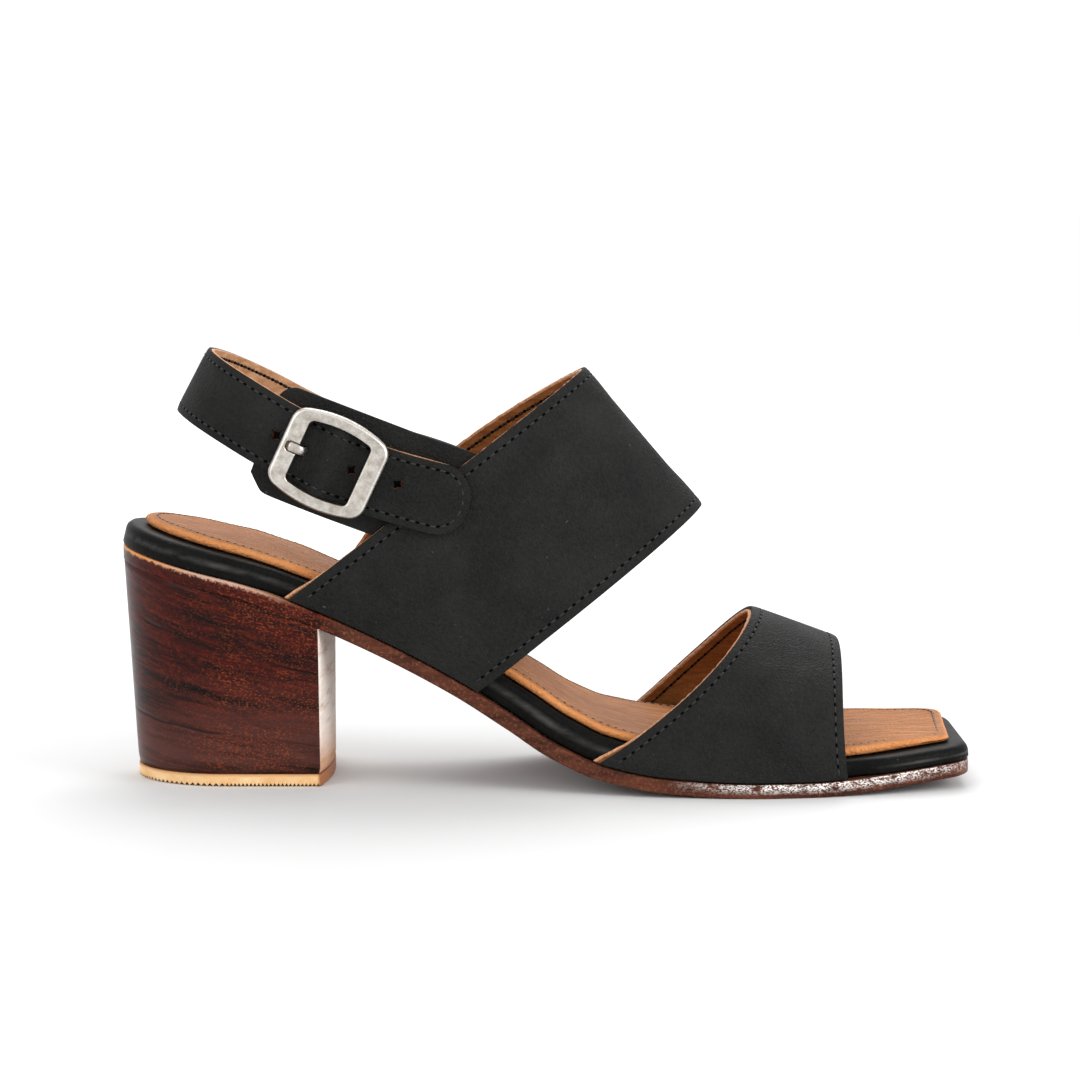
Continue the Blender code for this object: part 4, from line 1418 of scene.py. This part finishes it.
def thread_finish(name, dark, light):
    material, tree, shader = new_material(name)
    place = object_place(tree)
    twist = noise_value(tree, stretched(tree, place, (1.0, 1.0, 2.0)), 2200.0, 2.0)
    set_shader(
        tree, shader, Base_Color=blend(tree, ranged(tree, twist, 0.35, 0.65), dark, light),
        Roughness=0.6, Specular_IOR_Level=0.2, Normal=bumped(tree, twist, 0.00008),
    )
    return material


# Near-black finish that paints the shade inside the needle holes.
def hole_shade_finish():
    material, tree, shader = new_material("needle hole")
    shade = noise_value(tree, object_place(tree), 1200.0, 1.0)
    set_shader(
        tree, shader, Base_Color=blend(tree, shade, (0.0010, 0.0010, 0.0010), (0.0030, 0.0028, 0.0026)),
        Roughness=0.95, Specular_IOR_Level=0.02,
    )
    return material


def even_places(line, pitch):
    """Places at an even pitch along a sampled seam, each with its direction and normal."""
    runs = [0.0]
    for before, after in zip(line, line[1:]):
        runs.append(runs[-1] + (after.place - before.place).length)
    count = int(runs[-1] / pitch)
    indices = list(range(len(line)))
    made = []
    for k in range(count):
        at = float(np.interp((k + 0.5) * runs[-1] / count, runs, indices))
        i = min(int(at), len(line) - 2)
        direction = (line[i + 1].place - line[i].place).normalized()
        made.append((line[i].place.lerp(line[i + 1].place, at - i), direction, line[i].normal))
    return made


def add_beads(bm, places, length, width, height):
    """Small flattened beads along a seam."""
    for place, direction, normal in places:
        side = normal.cross(direction).normalized()
        up = direction.cross(side)
        turn = Matrix((direction, side, up)).transposed().to_4x4()
        size = Matrix.Diagonal((length / 2 * MM, width / 2 * MM, height / 2 * MM, 1))
        matrix = Matrix.Translation(world(place)) @ turn @ size @ Matrix.Rotation(math.pi / 2, 4, "Y")
        bmesh.ops.create_uvsphere(bm, u_segments=6, v_segments=4, radius=1.0, matrix=matrix)


def sew(name, lines, thread, size=1.0, stout=1.0):
    """One mesh with all the stitches of some seams, and dark beads that paint the shade in their needle holes."""
    bm = bmesh.new()
    rows = [even_places(line, STITCH_PITCH * size) for line in lines]
    for places in rows:
        add_beads(bm, places, STITCH_LENGTH * size, STITCH_WIDTH * size * stout, STITCH_HEIGHT * size * stout)
    threads = len(bm.faces)
    # Between the stitches, dark beads paint the shade in the needle holes.
    for places in rows:
        between = []
        for (first, direction, normal), (second, _, _) in zip(places, places[1:]):
            between.append(((first + second) / 2 + normal * 0.02, direction, normal))
        add_beads(bm, between, NEEDLE_LENGTH * size, NEEDLE_WIDTH * size, NEEDLE_HEIGHT * size)
    bm.faces.ensure_lookup_table()
    for face in bm.faces[threads:]:
        face.material_index = 1
    bmesh.ops.recalc_face_normals(bm, faces=bm.faces[:])
    return add_piece(name, bm, (thread, HOLE_SHADE))


THREAD = thread_finish("black waxed thread", (0.013, 0.0132, 0.0131), (0.038, 0.0384, 0.0378))
DARK_THREAD = thread_finish("black lining thread", (0.006, 0.0058, 0.0056), (0.018, 0.0175, 0.017))
GREY_THREAD = thread_finish("grey sock thread", (0.17, 0.125, 0.10), (0.34, 0.265, 0.22))
HOLE_SHADE = hole_shade_finish()
print("stitch pitch:", STITCH_PITCH)

# %% [markdown]
# ## Sewn seams
# The bands are sewn along both edges and the strap all round. Each seam shows on the black
# leather and again, with a darker and stouter thread, on the lining. The seam lines come from
# the same functions as the sheets, so the stitches follow every crease.

# %% Sewn seams
SEAM_SAMPLES = 300
STRAP_SAMPLES = 180
INSTEP_FRONT_INSET, TOE_FRONT_INSET, TOE_LINING_INSET = 2.7, 2.6, 2.3
LINING_DEPTH = LINING_SHEET.depth + LINING_SHEET.thickness + RIPPLE_DEPTH
LINING_STOUT = 1.5


def band_seam(band, edge, inset, depth=0.0, facing=1):
    """Seam at a distance from one edge of a band, on its leather or on its lining."""
    line = []
    for turn in spaced(0.004, 0.996, SEAM_SAMPLES):
        step = inset / edge_reach(band, edge, turn)
        point, _, _, normal = band_frame(band, edge + step * (1 - 2 * edge), turn)
        line.append(SeamPoint(point - normal * (depth + band_relief(band, point)), normal * facing))
    return line


def band_seams(band, front_inset, depth, facing=1):
    """The seams along the back and the front edge of a band."""
    return [
        band_seam(band, 0, SEAM_INSET, depth, facing),
        band_seam(band, 1, front_inset, depth, facing),
    ]


def strap_seam(inset, depth, facing=1):
    """Seam up one side of the strap, round its tip and back along the other side."""
    radius, side = STRAP_TIP - inset, STRAP_HALF - inset
    walk = [(run, side) for run in spaced(SLING_LENGTH - 2, STRAP_TIP, STRAP_SAMPLES)]
    walk += [(STRAP_TIP - radius * math.sin(a), side * math.cos(a)) for a in spaced(0, math.pi, 40)[1:-1]]
    walk += [(run, -side) for run in spaced(STRAP_TIP, SLING_LENGTH - 2, STRAP_SAMPLES)]
    line = []
    for run, step in walk:
        point, _, _, normal = strap_frame(run, step)
        line.append(SeamPoint(point - normal * (depth + STRAP_WAVE * wave(point)), normal * facing))
    return line


sew("instep_stitches", band_seams(INSTEP_BAND, INSTEP_FRONT_INSET, STITCH_SINK), THREAD)
sew("toe_band_stitches", band_seams(TOE_BAND, TOE_FRONT_INSET, STITCH_SINK), THREAD)
sew("sling_stitches", [strap_seam(STRAP_SEAM, STITCH_SINK - STRAP_THICKNESS / 2)], THREAD)
lining_seams = band_seams(INSTEP_BAND, INSTEP_FRONT_INSET, LINING_DEPTH, -1)
lining_seams += band_seams(TOE_BAND, TOE_LINING_INSET, LINING_DEPTH, -1)
lining_seams.append(strap_seam(STRAP_SEAM, STRAP_LINING.depth + STRAP_LINING.thickness, -1))
sew("lining_stitches", lining_seams, DARK_THREAD, 1.0, LINING_STOUT)

# %% [markdown]
# ## Insole leather
# The foot rests on a sock of tan leather, streaked along its length and browner where it is
# worn. The lining's recipe could serve, but the sock also has small dark marks and a paler
# rolled edge, which is found from the height kept in its UV map.

# %% Insole leather


def insole_finish():
    material, tree, shader = new_material("tan insole leather")
    place = object_place(tree)
    streak = use_group(tree, STREAKS, {"Vector": stretched(tree, place, (0.10, 1.0, 0.5)), "Size": 620.0})
    grain = use_group(tree, GRAIN, {"Vector": place, "Pebbles": 1300.0})
    marks = use_group(tree, SPECKS, {
        "Vector": stretched(tree, place, (0.35, 1.0, 1.0)), "Size": 620.0, "Limit": 0.66, "Softness": 0.06,
    })
    top = blend(tree, ranged(tree, streak["Broad"], 0.3, 0.7), (0.28, 0.094, 0.025), (0.49, 0.200, 0.060))
    # Pale streaks: partly the leather's own grain, partly a sheen painted into the colour.
    top = blend(tree, ranged(tree, streak["Broad"], 0.56, 0.74, 0.0, 0.4), top, (0.60, 0.31, 0.14))
    top = blend(tree, ranged(tree, streak["Fine"], 0.47, 0.64, 0.0, 0.4), top, (0.18, 0.060, 0.020))
    top = blend(tree, product(tree, marks["Mask"], 0.55), top, (0.10, 0.042, 0.024))
    level = height_share(tree)
    edge = blend(tree, ranged(tree, grain["Mottle"], 0.35, 0.7), (0.50, 0.180, 0.056), (0.70, 0.305, 0.115))
    rolled_edge = ranged(tree, level, 0.96, 0.80)
    relief = total(tree, grain["Height"], product(tree, streak["Fine"], 1.5))
    set_shader(
        tree, shader,
        Base_Color=blend(tree, rolled_edge, top, edge),
        Roughness=ranged(tree, grain["Mottle"], 0.3, 0.7, 0.52, 0.36),
        Normal=bumped(tree, relief, 0.00026),
        Specular_IOR_Level=0.08,
    )
    return material


INSOLE_TAN = insole_finish()
print("insole finish:", INSOLE_TAN.name)

# %% [markdown]
# ## Insole
# The sock is thinly padded, with a rolled edge that is pinched unevenly round the heel, and
# it swells a little behind the toe band. Sculpting could give this, but a few named swells
# and a small noise on the laid block keep its thickness and let its seam follow.

# %% Insole
INSOLE_THICKNESS = 2.6
INSOLE_STEP = {OUTER: 6.4, INNER: 7.4}
INSOLE_ENDS = LayerEnds(5.7, 3.7, 1.0)
INSOLE_SEAM = 1.3
INSOLE_ROLL, INSOLE_FOOT_ROLL = 1.35, 1.1
SWELL_HEIGHT, SWELL_PLACE, SWELL_REACH = 0.9, 208, 16
CORNER_DROP, CORNER_RUN = 0.45, (222, 238)
PINCH_LENGTH, PINCH_TOE, PINCH_HEEL, PINCH_RUN = 2.2, 0.14, 0.75, (50, 12)
INSOLE_WAVE_SHARE, INSOLE_WAVE_SIZE = 1.3, 9.0
SOCK_STITCH, SOCK_STOUT = 0.8, 1.25
LAYER_RINGS = 9


def insole_swell(x, across):
    """The sock stands up behind the toe band and lies down at its outer toe corner."""
    swell = SWELL_HEIGHT * math.exp(-((x - SWELL_PLACE) / SWELL_REACH) ** 2) * (0.65 + 0.35 * across)
    return swell - CORNER_DROP * smoothstep(*CORNER_RUN, x) * (1 - across)


def insole_wave(point):
    return Vector((0, 0, INSOLE_WAVE_SHARE * wave(point, INSOLE_WAVE_SIZE)))


def insole_place(u, v, level):
    x, across = STATIONS[round(u * SPANS)], 2 * v - 1
    inset, lift = rolled(level, INSOLE_THICKNESS, INSOLE_ROLL, INSOLE_FOOT_ROLL)
    pinch = noise.noise(Vector((x / PINCH_LENGTH, 7 * across, 2.0)))
    inset += pinch * mix(PINCH_TOE, PINCH_HEEL, smoothstep(*PINCH_RUN, x)) * math.sin(math.pi * level)
    step = INSOLE_STEP[OUTER if v < 0.5 else INNER] + inset
    lift += insole_swell(x, across) * level
    point = sole_point(x, across, step, inset_ends(INSOLE_ENDS, inset), platform_thickness(x) + GAP + lift)
    return point + insole_wave(point) * level


def insole_seam():
    """Seam round the sock, a little way in from its rolled edge."""
    line = []
    inset = INSOLE_ROLL + INSOLE_SEAM
    walk = [(x, -1.0) for x in reversed(STATIONS)] + [(x, 1.0) for x in STATIONS]
    walk += [(LENGTH, across) for across in spaced(1.0, -1.0, 40)[1:-1]]
    for x, across in walk:
        step = INSOLE_STEP[OUTER if across < 0 else INNER] + inset
        lift = platform_thickness(x) + GAP + INSOLE_THICKNESS + insole_swell(x, across)
        point = sole_point(x, across, step, inset_ends(INSOLE_ENDS, inset), lift)
        line.append(SeamPoint(point + insole_wave(point), sole_normal(x)))
    return line


insole_bm = unit_block(SPANS, LAYER_LANES, LAYER_RINGS)
lay_block(insole_bm, insole_place)
add_piece("insole_sock", insole_bm, (INSOLE_TAN,), "insole")
sew("insole_stitches", [insole_seam()], GREY_THREAD, SOCK_STITCH, SOCK_STOUT)

# %% [markdown]
# ## Platform wrap
# A thin platform lies under the sock, wrapped in smooth black leather that is folded over its
# upper edge. A bevel could round that edge, but the fold is wide above and tight below, so
# the block's side is rolled with two radii and left a little uneven.

# %% Platform wrap
PLATFORM_ENDS = LayerEnds(0.8, 0.0, 0.0)
WRAP_ROLL, WRAP_FOOT_ROLL = 2.1, 0.5
WRAP_WAVE_SHARE, WRAP_WAVE_SIZE = 0.9, 14.0


def platform_place(u, v, level):
    x, across = STATIONS[round(u * SPANS)], 2 * v - 1
    inset, lift = rolled(level, platform_thickness(x) - GAP, WRAP_ROLL, WRAP_FOOT_ROLL)
    step = platform_step(x) + inset
    point = sole_point(x, across, step, inset_ends(PLATFORM_ENDS, inset), GAP + lift)
    return point + Vector((0, across * WRAP_WAVE_SHARE * wave(point, WRAP_WAVE_SIZE), 0))


platform_bm = unit_block(SPANS, LAYER_LANES, LAYER_RINGS)
lay_block(platform_bm, platform_place)
add_piece("platform_wrap", platform_bm, (WRAP_BLACK,), "platform")

# %% [markdown]
# ## Stacked heel
# The heel is a pile of leather lifts, glued, sanded and stained mahogany. Each lift could be
# a slab of its own, but they are sanded flush, so only the colour tells them apart. Fibres
# and layer lines slope with the seat, so the finish reads a height that falls towards the
# toe.

# %% Stain of the stack
STACK_SLOPE, STACK_FAN = 0.05, 3.6


def stack_place(tree, along):
    """Vector stretched along the layers of the heel, which fall towards the toe."""
    parts = axes(tree, object_place(tree))
    slope = total(tree, product(tree, parts["Z"], STACK_FAN), STACK_SLOPE)
    height = total(tree, parts["Z"], product(tree, parts["X"], slope))
    return node(tree, "ShaderNodeCombineXYZ", {
        "X": product(tree, parts["X"], along),
        "Y": product(tree, parts["Y"], along),
        "Z": height,
    }).outputs["Vector"], height


def stack_colour(tree):
    """Mahogany streaks, dark bands and orange fibres of the stained stack, and a painted reflection of the floor that
    makes its lower part lighter and greyer.
    """
    long_place, height = stack_place(tree, 0.07)
    streak = use_group(tree, STREAKS, {"Vector": long_place, "Size": 330.0})
    short_place, _ = stack_place(tree, 0.45)
    fibres = use_group(tree, SPECKS, {"Vector": short_place, "Size": 3200.0, "Limit": 0.52, "Softness": 0.14})
    patches = noise_value(tree, stack_place(tree, 0.35)[0], 75.0, 3.0)
    parts = axes(tree, object_place(tree))
    soot = noise_value(tree, short_place, 1300.0, 3.0, 0.6)
    # Painted reflection of the floor: the lower part of the stack is made lighter and greyer.
    painted_floor_reflection = product(tree, ranged(tree, parts["Z"], 0.034, 0.008), ranged(tree, streak["Broad"], 0.35, 0.6))
    base = blend(tree, ranged(tree, streak["Broad"], 0.41, 0.58), (0.0052, 0.0028, 0.0027), (0.045, 0.0050, 0.0034))
    base = blend(tree, ranged(tree, streak["Fine"], 0.48, 0.62, 0.0, 0.7), base, (0.090, 0.0105, 0.0050))
    base = blend(tree, ranged(tree, soot, 0.45, 0.65, 0.0, 0.55), base, (0.008, 0.0036, 0.0034))
    base = blend(tree, product(tree, painted_floor_reflection, 0.55), base, (0.115, 0.052, 0.042))
    glow = product(tree, fibres["Mask"], ranged(tree, patches, 0.42, 0.58))
    glow = product(tree, glow, ranged(tree, parts["X"], -0.116, -0.090))
    base = blend(tree, product(tree, glow, 0.55), base, (0.30, 0.060, 0.016))
    return base, streak, height


def stack_finish():
    material, tree, shader = new_material("stained heel stack")
    colour, streak, height = stack_colour(tree)
    wobble = noise_value(tree, stretched(tree, object_place(tree), (0.4, 0.4, 1.0)), 60.0, 2.0)
    wavy = total(tree, height, product(tree, wobble, 0.004))
    saw = maths(tree, "FRACT", product(tree, wavy, 62.0))
    line = ranged(tree, maths(tree, "ABSOLUTE", maths(tree, "SUBTRACT", saw, 0.5)), 0.028, 0.0)
    gaps = noise_value(tree, stretched(tree, object_place(tree), (1.0, 1.0, 3.0)), 45.0, 1.0)
    line = product(tree, line, ranged(tree, gaps, 0.45, 0.58))
    fibres = total(tree, streak["Broad"], streak["Fine"])
    relief = maths(tree, "SUBTRACT", fibres, product(tree, line, 2.0))
    set_shader(
        tree, shader,
        Base_Color=blend(tree, product(tree, line, 0.85), colour, (0.008, 0.004, 0.004)),
        Roughness=ranged(tree, streak["Broad"], 0.3, 0.7, 0.24, 0.36),
        Normal=bumped(tree, relief, 0.00014),
        Specular_IOR_Level=0.1,
    )
    return material


STACK = stack_finish()
print("stack finish:", STACK.name)

# %% [markdown]
# ## Front of the heel
# The heel's front face was never stained: it stays pale, with thin level layers and a browner
# foot. The stack's recipe could be lightened, but streaks that run straight across are
# simpler and need no slope.

# %% Front of the heel


def breast_finish():
    material, tree, shader = new_material("pale heel front")
    place = object_place(tree)
    smear = use_group(tree, STREAKS, {"Vector": stretched(tree, place, (1.0, 0.12, 1.0)), "Size": 420.0})
    stain = noise_value(tree, stretched(tree, place, (1.0, 0.10, 1.0)), 260.0, 4.0, 0.65)
    height = axes(tree, place)["Z"]
    base = blend(tree, ranged(tree, smear["Broad"], 0.3, 0.7), (0.82, 0.69, 0.60), (0.95, 0.87, 0.80))
    base = blend(tree, ranged(tree, stain, 0.53, 0.68, 0.0, 0.6), base, (0.46, 0.25, 0.16))
    base = blend(tree, ranged(tree, height, 0.016, 0.006, 0.0, 0.75), base, (0.55, 0.24, 0.09))
    set_shader(
        tree, shader, Base_Color=base, Roughness=0.8, Specular_IOR_Level=0.2,
        Normal=bumped(tree, smear["Fine"], 0.00015),
    )
    return material


BREAST = breast_finish()
print("front finish:", BREAST.name)

# %% [markdown]
# ## Heel block
# The block is round at the back, tapers to the floor and has a slightly bowed front. A
# cylinder could be cut and scaled, but its top has to follow the sloping seat. So a unit
# block is laid between a plan at the floor and the underside of the sole.

# %% Heel block
HeelPlan = namedtuple("HeelPlan", "back half_width")
HEEL_TOP = HeelPlan(1.2, 28.8)
HEEL_FOOT = HeelPlan(4.7, 23.0)
HEEL_FRONT = 58.1
HEEL_FRONT_BOW = 2.6
HEEL_ROUND_SHARE = 0.5
OUTSOLE_THICKNESS = 4.0
TOP_LIFT = 3.5
HEEL_RINGS = 24
HEEL_ROUNDING = 0.3
SEAT_GAP = 0.04
HEEL_BACK_SPANS, HEEL_SIDE_SPANS = 22, 26


def heel_shares(back_spans, side_spans):
    back = [HEEL_ROUND_SHARE * (1 - math.cos(a)) for a in spaced(HEEL_END_ANGLE, math.pi / 2, back_spans)]
    return back + spaced(HEEL_ROUND_SHARE, 1.0, side_spans)[1:]


def heel_plan(level, share, across, inset):
    """Plan of the heel at a level, 0 at the floor and 1 at its top."""
    back = mix(HEEL_FOOT.back, HEEL_TOP.back, level) + inset
    half = mix(HEEL_FOOT.half_width, HEEL_TOP.half_width, level) - inset
    front = HEEL_FRONT + HEEL_FRONT_BOW * (1 - across * across) - inset
    bulge = 1.0
    if share < HEEL_ROUND_SHARE:
        bulge = math.sqrt(1 - (1 - share / HEEL_ROUND_SHARE) ** 2)
    return mix(back, front, share), half * bulge * across


def heel_seat(share, across, inset):
    x, y = heel_plan(1, share, across, inset)
    return Vector((x, y, sole_top(x) - (OUTSOLE_THICKNESS + SEAT_GAP) / sole_normal(x).z))


def heel_level(height, share, across, inset):
    x, y = heel_plan(height / sole_top(0), share, across, inset)
    return Vector((x, y, height))


def heel_place(shares):
    spans = len(shares) - 1

    def place(u, v, level):
        share, across = shares[round(u * spans)], 2 * v - 1
        inset = HEEL_ROUNDING * max(1 - level * (HEEL_RINGS + 1), 0.0)
        foot = heel_level(TOP_LIFT + GAP, share, across, inset)
        return foot.lerp(heel_seat(share, across, inset), level)

    return place


def mark_front(bm):
    """The faces at the end of the block, before it is laid, take the second finish."""
    for face in bm.faces:
        if all(vert.co.x > 1 - TINY for vert in face.verts):
            face.material_index = 1


block_shares = heel_shares(HEEL_BACK_SPANS, HEEL_SIDE_SPANS)
heel_bm = unit_block(len(block_shares) - 1, LAYER_LANES, HEEL_RINGS)
mark_front(heel_bm)
lay_block(heel_bm, heel_place(block_shares))
add_piece("heel_stack", heel_bm, (STACK, BREAST), "heel_block")

# %% [markdown]
# ## Lift rubber
# The piece that meets the floor is pale rubber, stained brown along its top edge by the
# heel's polish. One noise clouds its colour and another roughens it.

# %% Lift rubber


def lift_finish():
    material, tree, shader = new_material("pale lift rubber")
    place = object_place(tree)
    cloud = noise_value(tree, place, 160.0, 4.0, 0.6)
    grit = noise_value(tree, place, 1700.0, 2.0)
    parts = axes(tree, place)
    base = blend(tree, ranged(tree, cloud, 0.3, 0.7), (0.78, 0.45, 0.19), (0.95, 0.66, 0.36))
    base = blend(tree, ranged(tree, parts["X"], -0.0634, -0.0626, 0.0, 0.95), base, (0.32, 0.11, 0.04))
    stained = total(tree, parts["Z"], product(tree, cloud, 0.0012))
    base = blend(tree, ranged(tree, stained, 0.0032, 0.0042, 0.0, 0.8), base, (0.36, 0.12, 0.04))
    set_shader(
        tree, shader, Base_Color=base, Roughness=0.6, Specular_IOR_Level=0.3,
        Normal=bumped(tree, grit, 0.00008),
    )
    return material


LIFT_PALE = lift_finish()
print("lift finish:", LIFT_PALE.name)

# %% [markdown]
# ## Top lift
# The lift closes the heel, with fine teeth along its lower edge. A bump pattern could draw
# them, but they show in the outline. Every second column of the block is raised a little at
# its foot.

# %% Top lift
LIFT_BACK_SPANS, LIFT_SIDE_SPANS = 46, 48
LIFT_ROLL = 0.3
TOOTH = 0.9
lift_shares = heel_shares(LIFT_BACK_SPANS, LIFT_SIDE_SPANS)


def lift_place(u, v, level):
    column = round(u * (len(lift_shares) - 1))
    across = 2 * v - 1
    inset, height = rolled(level, TOP_LIFT, LIFT_ROLL, LIFT_ROLL)
    point = heel_level(height, lift_shares[column], across, inset)
    rim = abs(across) > 1 - TINY or u < TINY
    if column % 2 or (level < TINY and not rim):
        point.z = mix(TOOTH, TOP_LIFT, point.z / TOP_LIFT)
    return point


lift_bm = unit_block(len(lift_shares) - 1, LAYER_LANES, LAYER_RINGS)
lay_block(lift_bm, lift_place)
add_piece("heel_lift", lift_bm, (LIFT_PALE,), "heel_top_lift")

# %% [markdown]
# ## Edge of the outsole
# The outsole's side is red-brown, and towards the toe its polish glitters; that glitter is
# painted into its colour as pale specks. Over the heel it is stained with the stack, and only a
# thin tan line of bare leather shows along its top. Separate pieces could carry these, but one
# recipe that reads the place along the sole blends them.

# %% Edge of the outsole
HEEL_STAIN = (-0.062, -0.055)


def outsole_finish():
    material, tree, shader = new_material("polished sole edge")
    place = object_place(tree)
    stack, streak, _ = stack_colour(tree)
    rough = noise_value(tree, place, 1100.0, 4.0, 0.7)
    along = use_group(tree, STREAKS, {"Vector": stretched(tree, place, (0.12, 0.3, 1.0)), "Size": 500.0})
    spark_place = stretched(tree, place, (0.55, 0.55, 1.0))
    glints = use_group(tree, SPECKS, {"Vector": spark_place, "Size": 3000.0, "Limit": 0.42, "Softness": 0.13})
    clusters = use_group(tree, SPECKS, {"Vector": spark_place, "Size": 700.0, "Limit": 0.34, "Softness": 0.2})
    x = axes(tree, place)["X"]
    level = height_share(tree)
    edge = blend(tree, ranged(tree, along["Broad"], 0.3, 0.7), (0.034, 0.010, 0.006), (0.120, 0.036, 0.019))
    edge = blend(tree, ranged(tree, rough, 0.52, 0.70, 0.0, 0.5), edge, (0.32, 0.125, 0.062))
    # Painted highlights: pale specks in the colour where the polish catches the light, strongest towards the toe.
    painted_glints = product(tree, ranged(tree, x, 0.034, 0.060), ranged(tree, x, 0.120, 0.098, 0.35, 1.0))
    painted_glints = product(tree, painted_glints, ranged(tree, level, 0.36, 0.62))
    painted_glints = product(tree, painted_glints, ranged(tree, level, 0.95, 0.80))
    painted_glints = product(tree, painted_glints, product(tree, glints["Mask"], clusters["Mask"]))
    edge = blend(tree, painted_glints, edge, (0.95, 0.90, 0.86))
    front = ranged(tree, x, *HEEL_STAIN)
    colour = blend(tree, front, stack, edge)
    ragged = total(tree, level, product(tree, maths(tree, "SUBTRACT", rough, 0.5), 0.35))
    bare = product(tree, ranged(tree, ragged, 0.62, 0.70), ranged(tree, x, -0.064, -0.078))
    tan = blend(tree, ranged(tree, x, -0.112, -0.095), (0.60, 0.26, 0.09), (0.50, 0.31, 0.23))
    tan = blend(tree, ranged(tree, x, -0.085, -0.068), tan, (0.24, 0.095, 0.045))
    relief = total(tree, product(tree, rough, front), product(tree, streak["Fine"], 0.5))
    set_shader(
        tree, shader, Base_Color=blend(tree, bare, colour, tan),
        Roughness=ranged(tree, rough, 0.3, 0.7, 0.24, 0.42),
        Normal=bumped(tree, relief, 0.00016),
        Specular_IOR_Level=0.1,
    )
    return material


SOLE_EDGE = outsole_finish()
print("sole finish:", SOLE_EDGE.name)

# %% [markdown]
# ## Outsole
# The sole is a leather plate that runs from the heel seat over the arch to the toe. It is
# laid from the same block as the layers above, with a sharp lower edge where it meets the
# heel and a rounder one in front.

# %% Outsole
OUTSOLE_ENDS = LayerEnds(1.0, 0.2, 0.0)
OUTSOLE_ROLL, OUTSOLE_FOOT_ROLL, HEEL_SEAT_ROLL = 0.45, 0.5, 0.05
SEAT_END = (50, 64)


def outsole_place(u, v, level):
    x = STATIONS[round(u * SPANS)]
    foot_roll = mix(HEEL_SEAT_ROLL, OUTSOLE_FOOT_ROLL, smoothstep(*SEAT_END, x))
    inset, lift = rolled(level, OUTSOLE_THICKNESS, OUTSOLE_ROLL, foot_roll)
    point = sole_point(x, 2 * v - 1, inset, inset_ends(OUTSOLE_ENDS, inset), 0.0)
    return point - Vector((0, 0, (OUTSOLE_THICKNESS - lift) / sole_normal(point.x).z))


outsole_bm = unit_block(SPANS, LAYER_LANES, LAYER_RINGS)
lay_block(outsole_bm, outsole_place)
add_piece("sole_leather", outsole_bm, (SOLE_EDGE,), "outsole")
